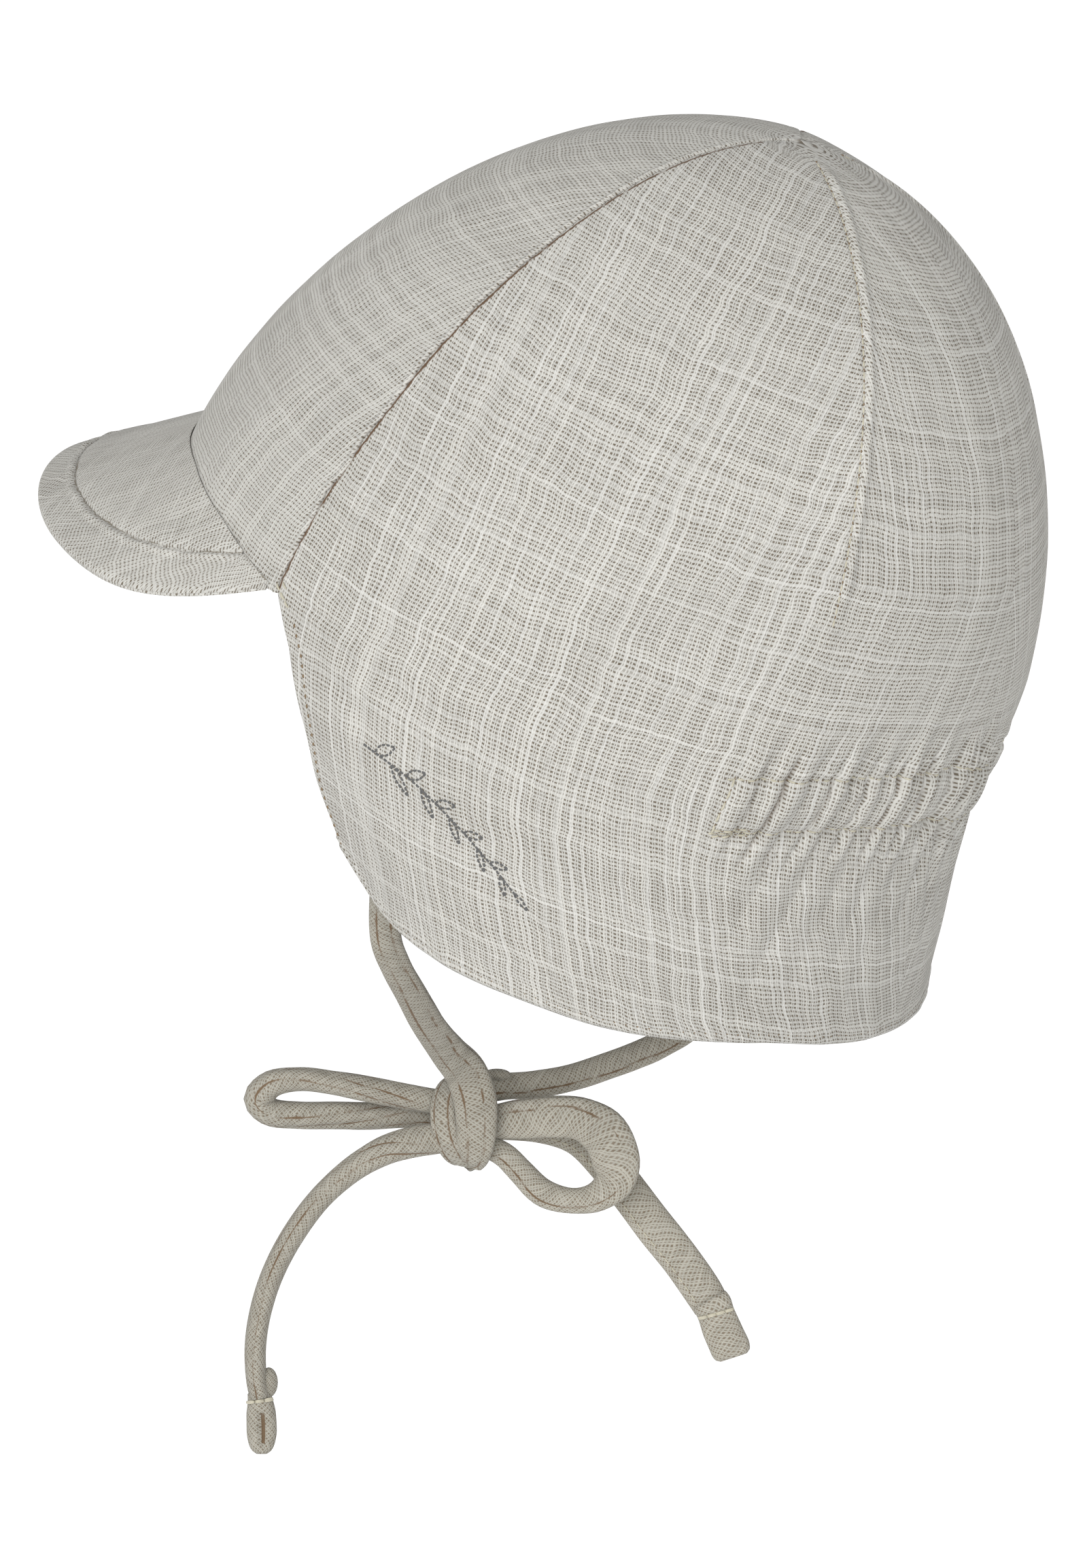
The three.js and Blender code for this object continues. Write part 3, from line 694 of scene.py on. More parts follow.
def makeCrownFront():
    piece, column, row = startGrid("crownFront", frontLook["columns"], frontLook["rows"])

    def density(s):
        return 1 + 4 * bell(s, -1, 0.02) + 4 * bell(s, 1, 0.02)
    s = spread(density, -1, 1, frontLook["columns"] + 1)[column]
    down = np.linspace(93, 0, frontLook["rows"] + 1)[row]
    w0 = riseHeight(crown["seamAngle"], down)
    # the lapped edge wavers from stitch to stitch
    pucker = 0.14 * np.sin(w0 / 2.1 * turn) + 0.6 * ripple(w0, 0, 12, 4, 0.5)
    edge = crown["seamAngle"] + 0.45 + pucker * smooth(down, 12, 20)
    angle = s * edge
    around = np.mod(angle, 360)
    w = np.where(down < 90, riseHeight(angle, down), -(down - 90) * (1.2 - 1.1 * s ** 6))
    fromEdge = (edge - np.abs(angle)) * perDegree(np.abs(angle), w)
    lap = (0.15 * (1 - smooth(fromEdge, 1.4, 4.0)) + frontLook["lap"] * bell(fromEdge, 0.55, 0.45)
           - 0.25 * bell(fromEdge, 1.35, 0.3) - 0.45 * bell(fromEdge, 0, 0.25))
    moveTo(piece, clothPoint(around, w) + outward(around, w) * (lap * (1 - smooth(w, 92, 99)))[:, None])
    corners = cornerVertices(piece)
    size, v = clothMeasure(np.abs(angle[corners]), w[corners], 0.0)
    layCloth(piece, np.sign(angle[corners]) * size + 300, v)
    thicken(piece)
    dress(piece, frontMuslin, "crown_muslin", "crown_front")
    return piece


crownFront = makeCrownFront()
print("crown front made")


# peak_panel and peak_border: one curved surface, parted by a welted seam

peak = dict(share=0.993, thick=3.0, thin=1.6, wide=8.0, wider=2.6, rootAngle=64.6, halfWidth=64.5, back=33.8,
            reach=78.94, round=0.89, low=14.9, dip=19.2, arch=30.1)
# share, height on the crown
peakSeam = [(0, 2.2), (0.3, 2.9), (0.55, 4.0), (0.75, 3.2), (0.9, 1.5), (1, 0.4)]


def peakRoot(share, under=0):
    w = readCurve(peakSeam, np.abs(share)) - under
    return clothPoint(np.mod(share * peak["rootAngle"], 360), w, np.full_like(w, -0.2))


def peakEdge(share):
    a = np.radians(share * 90)
    c = np.maximum(0, np.cos(a))
    return np.stack([peak["halfWidth"] * np.sin(a), -peak["back"] - peak["reach"] * c ** peak["round"],
                     peak["low"] - peak["dip"] * c + peak["arch"] * c * c], -1)


def peakTop(share, k):
    root, edge = peakRoot(share), peakEdge(share)
    point = root + (edge - root) * k[..., None]
    point[..., 2] += 0.1 * np.sin(math.pi * k) * np.cos(np.radians(share * 90))
    return point


def peakUp(share, k):
    s, t = np.clip(share, -0.97, 0.97), np.clip(k, 0.03, 0.97)
    across = peakTop(s + 0.02, t) - peakTop(s - 0.02, t)
    out = peakTop(s, t + 0.03) - peakTop(s, t - 0.03)
    return unit(np.cross(out, across))


def peakPoint(share, k, under):
    down = -peakUp(share, k) * under[..., None]
    wallward = peakRoot(share, under) - peakRoot(share)
    hold = np.maximum(1 - smooth(k, 0, 0.75), smooth(np.abs(share), 0.5, 0.84))[..., None]
    return peakTop(share, k) + down + (wallward - down) * hold


def peakReach(share):
    return np.linalg.norm(peakEdge(share) - peakRoot(share), axis=-1)


def borderWidth(share):
    return peak["wide"] + peak["wider"] * np.sin(np.radians(share * 90)) ** 2


def peakThick(share):
    return peak["thick"] - peak["thin"] * share ** 4


def lengthAlong(share):  # the way along the peak's outline, from its middle
    fine = np.linspace(-1, 1, 801)
    total = wayAlong(peakEdge(fine))
    return np.interp(share, fine, total - total[400])


def panelStop():  # where the border alone fills the peak
    fine = np.linspace(0, peak["share"], 400)
    return fine[peakReach(fine) - borderWidth(fine) > 0.5].max()


def makePeakPiece(name, columns, rows, isBorder):
    piece, column, row = startGrid(name, columns, rows)
    most = peak["share"] if isBorder else panelStop()
    along = np.sin(np.radians(np.linspace(-70, 70, rows + 1))) / math.sin(math.radians(70))
    share = (most * along)[row]
    reach = peakReach(share)
    thick = peakThick(share)
    seam = np.maximum(reach - borderWidth(share), 0)
    # once round the section, from the middle of the inner side over the top and back underneath
    corner = 0.12 if isBorder else 0.06
    inner = 0.025

    def density(x):
        return 1 + 3 * bell(x, 0, 0.05) + 3 * bell(x, 1, 0.05) + 6 * bell(x, 0.5, 0.06)
    t = spread(density, 0, 1, columns + 1)[column]
    bend = np.clip((t - 0.5) / corner, -1, 1) * math.pi / 2
    atCorner = np.abs(t - 0.5) < corner
    fromInner = np.minimum(t, 1 - t)
    inward = np.clip((fromInner - inner) / (0.5 - corner - inner), 0, 1)
    under = np.where(atCorner, thick * (0.5 + 0.5 * np.sin(bend)), np.where(t < 0.5, 0, thick))
    atInner = 0.5 * thick * np.clip(1 - fromInner / inner, 0, 1)
    under = np.where(t < 0.5, under + atInner, under - atInner)
    if isBorder:
        flat = np.maximum(reach - thick * 0.42 - seam, 0.2)
        far = seam + np.where(atCorner, flat + np.cos(bend) * thick * 0.42, inward * flat)
    else:
        far = np.where(atCorner, seam, inward * seam)
    points = peakPoint(share, far / reach, under)
    length = lengthAlong(share)
    fromSeam = far - seam + 0.35 * ripple(length, 0, 21, 4, 0.35)
    lift = -0.35 * bell(fromSeam, 0, 0.35)
    if isBorder:
        rope = 1 + 0.35 * np.sin(length / 2.1 * turn + fromSeam * 2) + ripple(length, 0, 22, 4, 0.5)
        lift = lift + 0.32 * bell(fromSeam, 1.1, 0.7) * rope - 0.15 * bell(fromSeam, 2.4, 0.5)
        lift = lift + 0.12 * np.sin(share * 60 + 3 * np.sin(share * 17)) * bell(fromSeam, 3.5, 1.6)
        lift = lift * (1 - smooth(np.abs(share), 0.9, 0.97))
    else:
        lift = lift + 0.25 * bell(fromSeam, -3.0, 2.5)
    flatPart = (under < 0.01) | (under > thick - 0.01)
    lift = np.where(flatPart, lift, 0) * np.where(under > thick * 0.5, -1, 1)
    points = points + peakUp(share, far / reach) * lift[:, None]
    moveTo(piece, points)
    # the distance from the welt seam sets the painted shade line in its groove
    mark(piece, "weltMm", np.where(under < 0.01, fromSeam, 9))
    corners = cornerVertices(piece)
    if isBorder:  # cut on the bias
        u, v = length[corners], (fromSeam + 12 * (under > thick / 2))[corners]
        layCloth(piece, (u + v) * diagonal + 500, (v - u) * diagonal)
    else:
        # the sides slope down, so that the cloth there is longer than it looks from above
        x, y = points[corners, 0], points[corners, 1]
        layCloth(piece, x * (1 + 0.22 * (x / 60) ** 2) + 500, -1.04 * y)
    closeUp(piece)
    dress(piece, peakMuslin, "peak_muslin", "peak_border" if isBorder else "peak_panel")
    return piece


makePeakPiece("peakPanel", 110, 130, False)
makePeakPiece("peakBorder", 90, 170, True)
print("peak made")


# the two ties, each one flat woven tube from its flap through the knot, round a loop and out to its tail

bow = dict(knot=(2, -29.5, -95.8), across=(-0.4695, 0.8829, 0), upward=(-0.1533, -0.0815, 0.9848),
           toward=(0.8695, 0.4623, 0.1736), diameter=5.0, inside=3.6)
bowAxes = np.array([bow["across"], bow["upward"], bow["toward"]])


def inBow(rows):  # from across, up and toward the viewer of the bow to the frame of the cap
    return np.array(bow["knot"]) + np.asarray(rows, float)[..., :3] @ bowAxes


def inFlap(side, angle, depth):
    spot = (angle if side > 0 else 360 - angle, -depth, crown["wall"] + bow["inside"])
    return bowAxes @ (clothPoint(*(np.array([float(x)]) for x in spot))[0] - bow["knot"])


# rows of across, up, toward, width, thickness and, where it isn't 0, roll of the wide face
nearTie = [
    [*inFlap(1, 74.3, 37), 5.8, 2.4], [*inFlap(1, 71.7, 42), 5.8, 2.8], [-13.4, 35.6, 52.8, 5.8, 3.0],
    [-11.8, 30.6, 47.6, 5.8, 3.0], [-9.3, 25.3, 39.6, 5.9, 3.0], [-6.2, 18.9, 27.0, 6.1, 3.2],
    [-2.6, 13.2, 14.6, 7.0, 3.2],
    # over the front of the knot and back under it
    [0.5, 9.0, 8.2, 7.8, 3.0], [2.0, 4.6, 6.8, 8.0, 2.8], [2.4, 0.0, 6.4, 7.8, 2.8],
    [2.2, -4.2, 5.2, 7.2, 2.8], [1.9, -6.9, 2.4, 5.8, 2.8], [1.5, -7.3, -1.2, 4.6, 2.8],
    [0.4, -4.4, -4.0, 4.6, 2.8], [-1.0, -0.2, -3.8, 4.8, 2.8], [-2.8, 2.8, -1.6, 4.8, 3.2],
    # the left-hand loop
    [-6.4, 3.6, 0.2, 4.8, 4.2], [-11.8, 4.6, 1.0, 4.8, 4.4, 20], [-18.2, 5.9, 1.5, 4.8, 4.4, 45],
    [-24.5, 7.1, 1.5, 5.0, 4.2, 70], [-30.9, 7.7, 0.8, 5.2, 4.4, 85], [-36.2, 6.6, 0.0, 5.6, 5.2, 90],
    [-38.3, 3.9, -0.8, 5.8, 5.9, 90], [-36.6, 1.6, -1.5, 5.8, 5.4, 90], [-31.2, 0.8, -2.2, 5.4, 5.2, 85],
    [-24.6, 0.7, -2.8, 5.2, 5.1, 70], [-18.3, 0.6, -3.4, 5.0, 4.8, 45], [-11.7, 0.8, -3.8, 4.8, 4.6, 20],
    [-6.6, 0.6, -3.8, 4.8, 4.0],
    # back through the knot and out to the tail
    [-2.8, -0.6, -3.0, 4.6, 3.0], [-0.8, -2.8, -0.8, 4.4, 3.0], [-2.8, -3.3, 1.2, 5.2, 3.6],
    [-5.9, -3.4, 1.8, 5.8, 4.4, 10], [-10.5, -4.2, 2.0, 5.6, 5.0, 30], [-14.9, -5.6, 2.0, 5.4, 5.1, 60],
    [-20.2, -8.6, 1.5, 5.6, 4.8, 80], [-26.7, -14.3, 1.0, 6.0, 4.5, 90], [-32.1, -21.6, 0.5, 6.4, 4.4, 90],
    [-35.9, -29.0, 0.0, 6.6, 4.3, 90], [-38.1, -36.0, 0.0, 6.8, 4.2, 90], [-39.0, -42.4, 0.0, 6.8, 4.1, 90],
    [-38.8, -48.4, 0.0, 6.8, 3.9, 90], [-38.2, -51.8, 0.0, 6.8, 3.7, 90],
]
farTie = [
    [*inFlap(-1, 75.5, 38), 6.4, 2.4], [*inFlap(-1, 74.5, 44), 6.4, 2.8], [43.8, 42.0, -36.5, 6.4, 3.0],
    [46.0, 29.0, -37.0, 6.0, 3.0], [45.4, 21.0, -34.0, 5.8, 3.2], [41.9, 16.3, -28.5, 5.6, 3.2],
    [35.7, 12.6, -22.6, 5.4, 3.4], [26.2, 9.2, -15.4, 5.2, 3.4], [18.8, 7.1, -11.0, 5.2, 3.4],
    [12.4, 6.2, -7.8, 5.2, 3.4], [6.6, 5.9, -4.8, 5.2, 3.4], [1.6, 4.4, -2.6, 4.6, 3.0],
    [-0.6, 1.8, -0.6, 4.6, 3.0], [1.6, 0.0, 1.2, 5.2, 3.0],
    # the right-hand loop
    [5.3, -0.1, 2.2, 6.3, 3.0], [10.4, 0.4, 3.4, 7.4, 3.0], [16.5, 0.9, 4.6, 7.7, 3.0],
    [22.1, 0.4, 5.2, 8.2, 3.0], [26.2, -2.3, 5.0, 9.2, 3.0], [28.2, -6.9, 4.0, 9.2, 3.2],
    [28.0, -11.2, 2.6, 7.6, 3.4], [24.7, -14.2, 1.6, 5.8, 3.8], [20.0, -15.0, 1.0, 5.0, 3.8],
    [14.6, -13.5, 0.6, 5.4, 3.8], [10.6, -9.7, 0.6, 5.0, 3.8], [7.4, -6.5, 1.0, 4.8, 3.4],
    [4.4, -5.0, 1.0, 4.6, 3.0],
    # back through the knot and out to the tail
    [1.2, -4.4, 0.4, 4.4, 2.8], [-0.8, -2.6, -1.6, 4.4, 2.8], [2.2, -1.2, -2.8, 5.2, 2.8],
    [7.0, -0.9, -3.8, 6.0, 2.8], [14.2, -1.4, -5.0, 6.4, 2.8], [21.0, -3.6, -5.4, 6.5, 2.8],
    [26.7, -8.8, -5.2, 7.1, 2.8], [30.8, -13.9, -4.6, 7.3, 2.8], [35.2, -19.7, -3.6, 7.4, 2.8],
    [40.4, -26.2, -2.6, 7.4, 2.8], [44.2, -31.6, -2.1, 7.3, 2.8], [46.1, -34.7, -2.0, 7.0, 3.0],
]


def smoothPath(rows, step=1.0):  # even places on one smooth curve through the rows, with the other columns
    rows = np.array([[*row, 0][:6] for row in rows], float)
    points = inBow(rows)
    gaps = np.linalg.norm(np.diff(points, axis=0), axis=1) ** 0.5
    knots = np.concatenate([[0], np.cumsum(gaps)])
    padded = np.concatenate([[2 * points[0] - points[1]], points, [2 * points[-1] - points[-2]]])
    stops = np.concatenate([[knots[0] - gaps[0]], knots, [knots[-1] + gaps[-1]]])
    fine = np.linspace(0, knots[-1], 60 * len(rows))
    i = np.clip(np.searchsorted(knots, fine, side="right") - 1, 0, len(rows) - 2)
    p, t = [padded[i + n] for n in range(4)], [stops[i + n] for n in range(4)]

    def blend(a, b, ta, tb):
        return (a * (tb - fine)[:, None] + b * (fine - ta)[:, None]) / (tb - ta)[:, None]
    a1, a2, a3 = blend(p[0], p[1], t[0], t[1]), blend(p[1], p[2], t[1], t[2]), blend(p[2], p[3], t[2], t[3])
    curve = blend(blend(a1, a2, t[0], t[2]), blend(a2, a3, t[1], t[3]), t[1], t[2])
    along = wayAlong(curve)
    even = np.linspace(0, along[-1], int(along[-1] / step) + 1)
    at = np.interp(even, along, fine)
    others = [readCurve(list(zip(knots, values)), at) for values in rows[:, 3:].T]
    return placesAt(even, along, curve), even, others


def strapFrame(rows, step):  # the middle line of a tie, and which way its face and side look
    places, along, (wide, thick, roll) = smoothPath(rows, step)
    ahead = unit(np.gradient(places, axis=0))
    face = unit(bowAxes[2] - ahead * (ahead @ bowAxes[2])[:, None])
    side = np.cross(face, ahead)
    c, s = np.cos(np.radians(roll))[:, None], np.sin(np.radians(roll))[:, None]
    return places, along, wide, thick, face * c - side * s, side * c + face * s


def squarish(angle, halfWide, halfThick):  # a round section with fuller corners
    c, s = np.cos(angle), np.sin(angle)
    return np.sign(c) * np.abs(c) ** 0.85 * halfWide, np.sign(s) * np.abs(s) ** 0.8 * halfThick


strapLook = dict(around=36, clothRound=16.0, clothShift=60)
# Creases run along a tie: for each, its place round the section in degrees from the side edge, and its depth.
tieCreases = ((8, 0.34), (66, 0.24), (118, 0.2), (196, 0.2), (262, 0.25))


def makeStrap(name, rows, step=1.0, creases=tieCreases, slit=None, seed=1, plainFrom=999):
    places, along, wide, thick, face, side = strapFrame(rows, step)
    around = strapLook["around"]
    piece, column, row = startGrid(name, around, len(places) - 1)
    angle = column / around * turn
    girth = (wide[row] + thick[row]) / 4
    here = along[row]
    bulge = 1 + 0.03 * ripple(here, 5 * np.sin(angle), seed + 3, 5, 0.25)
    x, y = squarish(angle, wide[row] / 2 * bulge, thick[row] / 2 * bulge)
    nearest = np.full(len(x), 9.0)
    for i, (place, depth) in enumerate(creases):
        sway = 9 * ripple(here, 0, seed * 7 + i, 4, 0.2)
        away = ((angle - np.radians(place + sway) + math.pi) % turn - math.pi) * girth
        strength = depth * (0.3 + 1.4 * np.abs(ripple(here, 0, seed * 5 + i, 3, 0.12)))
        strength = strength * (1 - smooth(here, plainFrom, plainFrom + 8))
        kept = 1 - strength * bell(away, 0, 0.45) / np.maximum(np.hypot(x, y), 0.1)
        x, y = x * kept, y * kept
        nearest = np.minimum(nearest, np.abs(away) + 0.25 * smooth(strength, 0.14, 0.08))
    if slit:
        start, stop, depth = slit
        open = smooth(here, start, start + 1) * (1 - smooth(here, stop - 1.4, stop)) * (np.sin(angle) > 0)
        y = y - depth * open * bell(x, 0.25, 0.5)
        nearest = np.where((open > 0.5) & (np.abs(x - 0.25) < 0.75), 0, nearest)
    moveTo(piece, places[row] + side[row] * x[:, None] + face[row] * y[:, None])
    # the distance to the nearest crease, and to the open slit, sets the painted shade lines along the tie
    mark(piece, "edgeMm", nearest)
    corners = cornerVertices(piece)
    layCloth(piece, column[corners] / around * strapLook["clothRound"],
             here[corners] + seed * strapLook["clothShift"])
    closeUp(piece)
    return piece, places, along[-1]


def makeTie(name, rows, cloth, nodes, onIt, **extra):
    piece, places, length = makeStrap(name, rows, **extra)
    dress(piece, cloth, "tie_muslin", *nodes)
    [tuple(p * mm) for p in places]
    print(name, "is", round(length), "mm long")


# the folded and stitched ends
endLeftRows = [[-38.5, -50.6, 0.2, 4.2, 4.0], [-38.1, -52.4, 0.2, 4.9, 4.4], [-37.9, -55.0, 0.2, 5.7, 4.6],
               [-37.8, -57.8, 0.2, 5.8, 4.4], [-37.8, -60.2, 0.2, 5.1, 3.8], [-37.8, -61.6, 0.2, 3.8, 2.8],
               [-37.8, -62.2, 0.2, 2.2, 1.8]]
endRightRows = [[45.8, -33.6, -1.7, 6.8, 3.6], [46.4, -34.7, -1.6, 7.2, 4.2], [46.9, -36.0, -1.8, 7.0, 3.2],
                [48.2, -39.4, -2, 7.5, 3.4], [49.5, -42.3, -2, 7.5, 3.2], [50.1, -43.8, -2, 6.8, 2.4],
                [50.3, -44.4, -2, 5.2, 1.4]]


def makeEnd(name, rows, cloth, node, **extra):
    piece, _, _ = makeStrap(name, rows, step=0.5, **extra)
    dress(piece, cloth, "tie_muslin", node)
    return piece


knotLook = dict(high=7.2, deep=5.3, back=-0.7, wide=5.6, thick=2.9, steps=48, around=30, creases=(62, 118))


def makeKnotWrap():  # it shows to the left of the tie over the knot's front, and runs a little aslant
    around, steps = knotLook["around"], knotLook["steps"]
    angle = np.linspace(0, turn, steps + 1)[:-1]
    c, s = np.cos(angle), np.sin(angle)
    centre = inBow(np.stack([-0.4 - 3.3 * c - 0.7 * s, knotLook["high"] * s - 0.1,
                             knotLook["deep"] * c + knotLook["back"]], 1))
    middle = centre.mean(0)
    ahead = np.roll(centre, -1, axis=0) - np.roll(centre, 1, axis=0)
    centre, ahead = (np.concatenate([way, way[:1]]) for way in (centre, unit(ahead)))
    out = centre - middle
    out = unit(out - ahead * np.sum(out * ahead, -1)[:, None])
    across = np.cross(out, ahead)
    piece, column, row = startGrid("knotWrap", around, steps)
    t = column / around * turn
    first, second = knotLook["creases"]
    crease = 0.4 * (bell(np.degrees(t), first, 9) + bell(np.degrees(t), second, 8))
    x, y = squarish(t, knotLook["wide"] / 2, knotLook["thick"] / 2 - crease)
    moveTo(piece, centre[row] + across[row] * x[:, None] + out[row] * y[:, None])
    fromCrease = np.minimum(np.abs(np.degrees(t) - first), np.abs(np.degrees(t) - second))
    # the distance to the knot's creases sets the painted shade lines in them
    mark(piece, "edgeMm", fromCrease * 0.035)
    corners = cornerVertices(piece)
    layCloth(piece, column[corners] / around * 14, row[corners] / steps * 42)
    closeUp(piece)
    dress(piece, nearMuslinDarkCopy, "tie_muslin", "tie_knot")
    return piece


def makeLump(name, place, radii):
    piece, spots = startBall(32, 20)
    piece.name = name
    moveTo(piece, inBow(spots * np.array(radii) + np.array(place)))
    mark(piece, "edgeMm", np.full(len(spots), 9.0))
    flat = spots[cornerVertices(piece), :2] * radii[:2] * 1.5
    layCloth(piece, flat[:, 0], flat[:, 1])
    editMesh(piece, lambda: bpy.ops.mesh.normals_make_consistent(inside=False))
    dress(piece, nearMuslinDarkCopy, "tie_muslin")
    return piece


endLeft = makeEnd("endLeftTie", endLeftRows, nearMuslinDarkCopy, "end_left_tie", slit=(3.2, 10.6, 1.7), seed=4,
                  creases=((0, 0.1), (180, 0.1)))
endRight = makeEnd("endRightTie", endRightRows, farMuslinLightCopy, "end_right_tie", seed=5, creases=((0, 0.1),))
knotWrap = makeKnotWrap()
knotCore = makeLump("knotCore", (0.4, 0.4, -1.4), (5.0, 6.6, 4.8))
knotFold = makeLump("knotFold", (6.0, 8.4, -2.4), (2.6, 1.1, 2.2))
endFold = makeLump("endFold", (-36.5, -48.9, 0.2), (1.7, 2.8, 1.8))
makeTie("nearTie", nearTie, nearMuslinDarkCopy, ("tie_left", "loop_right_tie", "tail_left_tie"),
        [endLeft, endFold, knotWrap, knotCore, knotFold], seed=1)
makeTie("farTie", farTie, farMuslinLightCopy, ("tie_right", "loop_left_tie", "tail_right_tie"), [endRight],
        seed=2, creases=tieCreases[:2] + tieCreases[3:4], plainFrom=198)
print("ties made")


# stitches: one short thread is modelled once and copied along each row

stitchLook = dict(pitch=2.1, long=1.6, thick=0.36, lift=0.0)
# painted shade: dark blobs between the stitches stand for the shade in the needle holes
pitLong = 0.45  # length of the dark hole between two stitches


def oneStitch():
    piece, spots = startBall(8, 6)
    faces = [list(p.vertices) for p in piece.data.polygons]
    bpy.data.objects.remove(piece)
    spots[:, 2] = np.sign(spots[:, 2]) * np.abs(spots[:, 2]) ** 0.6
    return spots, faces


stitchSpots, stitchFaces = oneStitch()


def sewAlong(points, normals, pitch, long, thick, lift, tilt=0.0, shift=0.0):
    # stitches along a line on the cloth: the vertices and faces of all of them
    along = wayAlong(points)
    count = max(1, int(along[-1] / pitch))
    at = (np.arange(count) + 0.5) * along[-1] / count + shift * pitch
    here = placesAt(at, along, points)
    up = unit(placesAt(at, along, normals))
    ahead = unit(placesAt(at + 0.3, along, points) - placesAt(at - 0.3, along, points))
    ahead = unit(ahead + unit(np.cross(up, ahead)) * tilt)
    side = unit(np.cross(up, ahead))
    # x across, y out of the cloth, z along; the two ends dip into it
    shape = stitchSpots * np.array([thick / 2, thick / 2, long / 2])
    shape[:, 1] += lift - 0.9 * thick * np.abs(stitchSpots[:, 2]) ** 3
    spots = here[:, None] + np.einsum("vk,skn->svn", shape, np.stack([side, up, ahead], 1))
    faces = [[n + i * len(stitchSpots) for n in f] for i in range(count) for f in stitchFaces]
    return spots.reshape(-1, 3), faces


def makeStitches(name, rows, material, slot):
    spots, faces = [], []
    for row in rows:
        more, moreFaces = sewAlong(**row)
        start = sum(len(s) for s in spots)
        spots.append(more)
        faces += [[n + start for n in f] for f in moreFaces]
    mesh = bpy.data.meshes.new(name)
    mesh.from_pydata((np.concatenate(spots) * mm).tolist(), [], faces)
    mesh.update()
    piece = bpy.data.objects.new(name, mesh)
    bpy.context.scene.collection.objects.link(piece)
    dress(piece, material, slot)
    return piece


def rowOn(angle, w, **changes):
    angle, w = np.broadcast_arrays(np.mod(angle, 360.0), np.asarray(w, float))
    return {**stitchLook, "points": clothPoint(angle, w), "normals": outward(angle, w), **changes}


def bothSides(angle, w, **changes):  # a row and its mirror image
    return [rowOn(a, w, **changes) for a in (angle, 360 - angle)]


# painted shade: these rows set dark blobs where the holes between the stitches lie in shade
def pitsOf(rows, long=pitLong, thick=0.7, lift=0.02):  # the dark holes between the stitches of some rows
    return [{**row, "long": long, "lift": row["lift"] + lift, "shift": 0.5, "tilt": 0.0,
             "thick": row["thick"] * thick} for row in rows]


def hemRows():
    angle = np.linspace(70, 290, 700)
    return [rowOn(angle, -(readCurve(hemDepth, mirrored(angle)) - 1.75), lift=-0.02, thick=0.3)]


def flapRows():
    depth = np.linspace(2, 41, 120)
    angle = readCurve(frontEdge, depth) + (3.6 - 1.8 * smooth(depth, 10, 38)) / 1.22
    return bothSides(angle, -depth, pitch=1.8, lift=-0.06, long=1.2, thick=0.28)


def elasticRows():
    start, width = elastic["start"], elastic["width"]
    angle = np.linspace(start, 360 - start, 600)
    rows = [rowOn(angle, elasticHeight(angle) + over, pitch=1.9, lift=0.1) for over in (0, width)]
    # a bar across each end, and a few stitches back along the lower row
    up, back = np.linspace(-0.3, width + 0.6, 20), np.linspace(start + 0.5, start + 6, 20)
    for side in (1, -1):
        for a, over, changes in ((start + 0.6 + up * 0.05, up, dict(pitch=2.0, long=1.8)),
                                 (back, 0.7, dict(pitch=1.8)), (back, -0.5, dict(pitch=1.8, tilt=0.2))):
            a = a if side > 0 else 360 - a
            rows.append(rowOn(a, elasticHeight(a) + over, thick=0.42, lift=0.22, **changes))
    return rows


def tackRows():  # a few short stitches where the front seam ends
    rows = []
    for a, b, w, x in ((65.4, 67.5, 1.4, -0.5), (66.7, 68.6, 0.4, -1.2), (65.9, 67.6, 2.6, 1.2)):
        rows += bothSides(np.linspace(a, b, 8), np.linspace(w, x, 8), pitch=1.5, thick=0.38, lift=0.25)
    return rows


def dartRows():
    w = crown["height"] * np.cos(np.radians(np.linspace(66.5, 5.5, 260))) ** 1.1
    return bothSides(crown["dartAngle"] - 0.35 / dartScale(w), w, thick=0.34, lift=0.04)


# A sprig of leaves in grey thread on the left flap, along a line of plan angle and depth.
sprigLook = dict(line=[(82.5, 15.0), (89.5, 16.3), (95.9, 19.4), (101.6, 24.0), (105.8, 28.4)],
                 perDegree=1.27, leaves=10, leafLong=4.8, leafWide=0.72, lean=42, thick=0.42, lift=0.06)


def sprigRows():
    angles, depths = zip(*sprigLook["line"])
    along = np.linspace(0, len(angles) - 1, 160)
    stemAngle = readCurve(list(enumerate(angles)), along)
    stemDepth = readCurve(list(enumerate(depths)), along)
    look = dict(thick=sprigLook["thick"], lift=sprigLook["lift"])
    rows = [rowOn(stemAngle, -stemDepth, pitch=0.95, long=0.98, **look)]
    scale, leaves = sprigLook["perDegree"], sprigLook["leaves"]
    for n in range(leaves + 1):
        # leaves stand in turn on either side of the stem, smaller toward its tip, and one ends it
        last = n == leaves
        i = 157 if last else int((0.07 + 0.88 * n / leaves) * 159)
        heading = math.atan2(stemDepth[i + 1] - stemDepth[i], (stemAngle[i + 1] - stemAngle[i]) * scale)
        way = heading + (0 if last else math.radians((1 if n % 2 else -1) * sprigLook["lean"]))
        size = 1.05 - 0.35 * n / leaves
        k = np.linspace(0, 1, 14)
        for off in (-1, 1):  # two rows of stitches draw a pointed leaf
            out = sprigLook["leafLong"] * size * k
            aside = off * sprigLook["leafWide"] * size * np.sin(math.pi * k ** 0.85)
            x = out * math.cos(way) - aside * math.sin(way)
            y = out * math.sin(way) + aside * math.cos(way)
            rows.append(rowOn(stemAngle[i] + x / scale, -(stemDepth[i] + y), pitch=0.85, long=0.95, **look))
    return rows


def tieRows():  # along the face of the right tie's tail
    places, along, wide, thick, face, side = strapFrame(farTie, 0.5)
    keep = (along >= 205) & (along <= along[-1] - 2)
    points = places - side * (0.6 * wide / 2)[:, None] + face * (thick * 0.42)[:, None]
    return [dict(points=points[keep], normals=face[keep], pitch=2.0, long=1.5, thick=0.26, lift=0.12)]


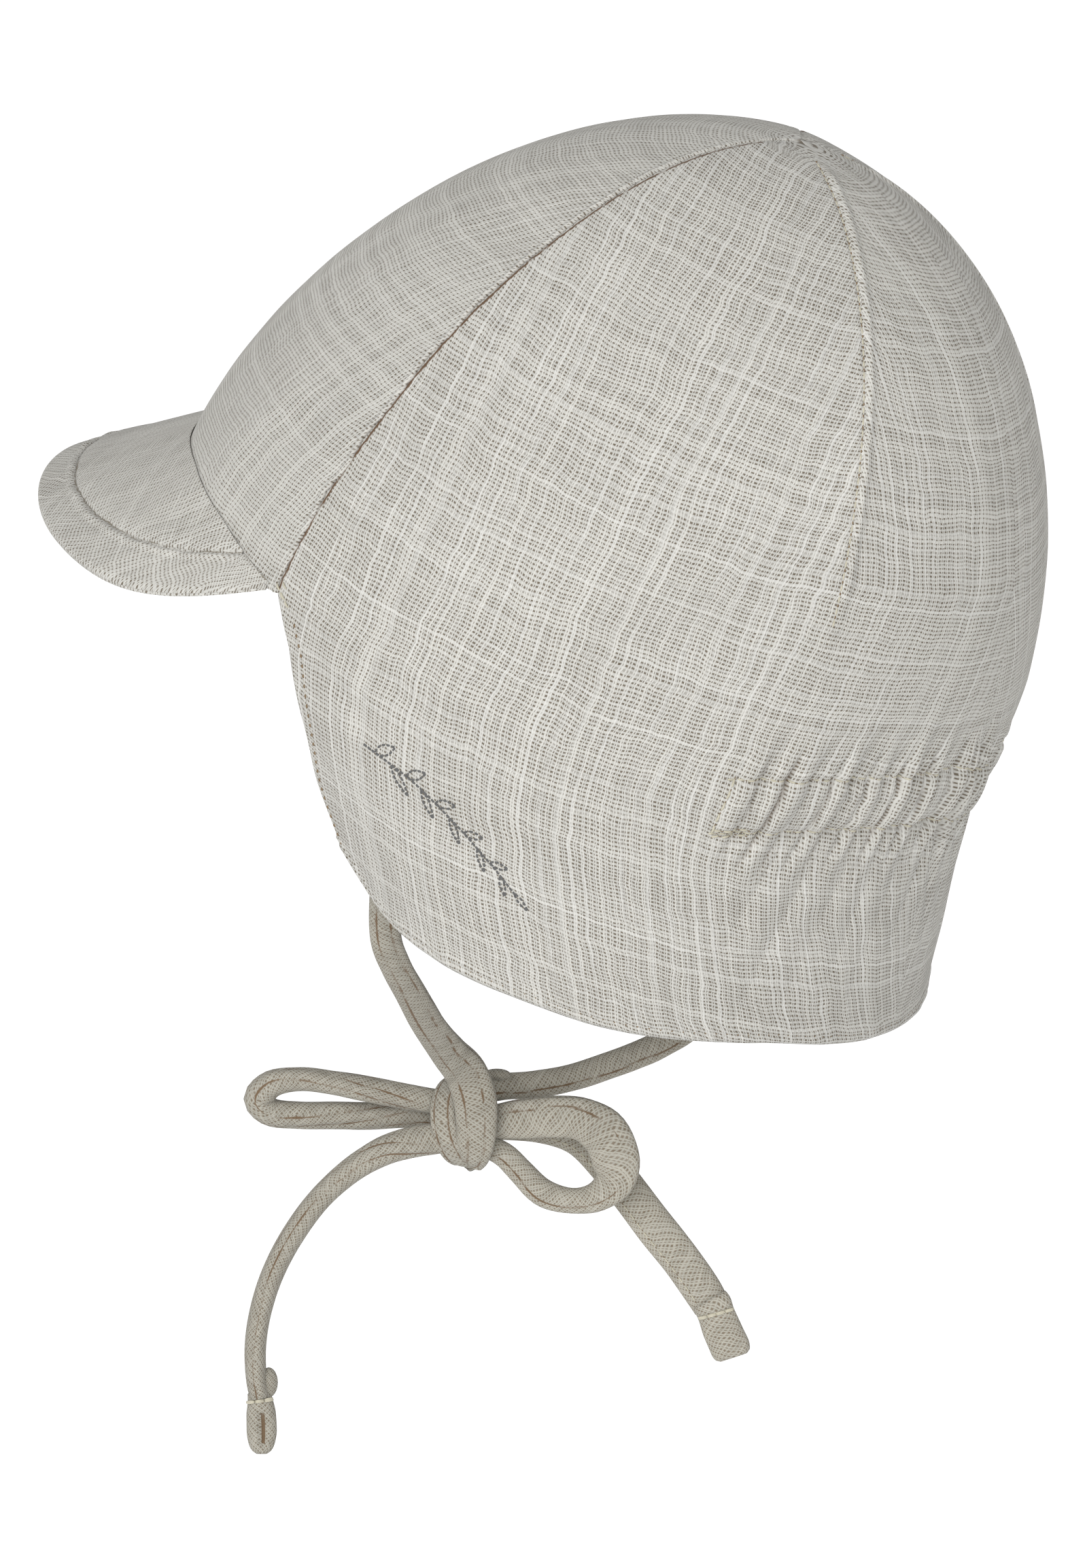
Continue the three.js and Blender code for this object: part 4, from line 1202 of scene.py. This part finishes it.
def barRows():  # two bars of stitches across each folded end
    rows = []
    k = np.linspace(-1, 1, 15)[:, None]
    for strap, at, share, slant in ((endRightRows, 2.9, 0.96, 0.3), (endRightRows, 2.5, 0.96, 0.3),
                                    (endLeftRows, 1.9, 1.0, 0.1), (endLeftRows, 1.5, 1.0, 0.1)):
        places, along, wide, thick, face, side = strapFrame(strap, 0.25)
        i = int(np.argmin(np.abs(along - at)))
        ahead = unit(np.gradient(places, axis=0))[i]
        points = (places[i] + side[i] * k * wide[i] / 2 * share + ahead * k * slant
                  + face[i] * (thick[i] / 2 * (1 - 0.35 * k ** 4) + 0.12))
        rows.append(dict(points=points, normals=np.broadcast_to(face[i], points.shape), pitch=1.7, long=1.9,
                         thick=0.5, lift=0.12))
    return rows


pitShadeRows = (pitsOf(elasticRows(), thick=0.5, lift=0.0) + pitsOf(dartRows(), long=0.7, thick=0.9)
        + pitsOf(flapRows(), long=0.85, thick=1.5, lift=0.16)
        + pitsOf(hemRows(), long=0.55, thick=1.2, lift=0.08))
hemStitches = makeStitches("hemStitches", hemRows() + flapRows(), clothThread, "crown_muslin")
elasticStitches = makeStitches("elasticStitches", elasticRows() + dartRows() + tackRows(), seamThread,
                               "crown_muslin")
stitchPitShade = makeStitches("stitchPitShade", pitShadeRows, pitShade, "crown_muslin")
sprig = makeStitches("sprig", sprigRows(), greyThread, "crown_muslin")
makeStitches("tieStitches", barRows() + tieRows(), seamThread, "tie_muslin")
makeStitches("tiePitShade", pitsOf(tieRows()), pitShade, "tie_muslin")
print("stitches sewn")


# the floor and the light

suns = dict(softLight=dict(energy=2.15, wide=60, azimuth=97, height=22),
            fillLight=dict(energy=0.6, wide=25, azimuth=131, height=2))
stage = dict(world=0.4, drop=0.9, wide=80, glow=0.46, near=1.2, far=2.4, nearShade=0.84, nearGlow=0.55)


def grey(value):
    return (value, value, value, 1)


def addSun(name, energy, wide, azimuth, height):
    clearSelection()
    bpy.ops.object.light_add(type="SUN", location=(0, 0, 2))
    sun = bpy.context.object
    sun.name = name
    sun.data.energy = energy
    sun.data.angle = math.radians(wide)
    sun.rotation_euler = (math.radians(90 - height), 0, math.radians(azimuth))


def setStage():
    clearSelection()
    bpy.ops.mesh.primitive_plane_add(size=stage["wide"], location=(0, 0, -stage["drop"]))
    floor = bpy.context.object
    floor.name = "floor"
    bench = Bench("paleFloor")
    place = bench.node("ShaderNodeTexCoord", {}, output=3)
    paper = bench.noise(place, 2.0, 2.0)
    # a little darker right under the cap, so that less light comes from below
    away = bench.node("ShaderNodeVectorMath", dict(operation="LENGTH"), place, output=1)
    far = away.between(stage["near"], stage["far"])
    white = bench.mix(far, grey(stage["nearShade"]), bench.mix(paper, grey(0.95), grey(0.96)))
    glow = bench.mix(far, grey(stage["nearGlow"]), grey(1))
    floor.data.materials.append(bench.finish(white, paper, 0, Emission_Color=glow,
                                             Emission_Strength=stage["glow"]))
    world = bpy.data.worlds.new("studio")
    bpy.context.scene.world = world
    world.use_nodes = True
    sky = world.node_tree.nodes["Background"].inputs
    sky[0].default_value = grey(1)
    sky[1].default_value = stage["world"]
    bpy.context.scene.view_settings.view_transform = "Standard"
    for name, sun in suns.items():
        addSun(name, **sun)


setStage()
print("stage set")
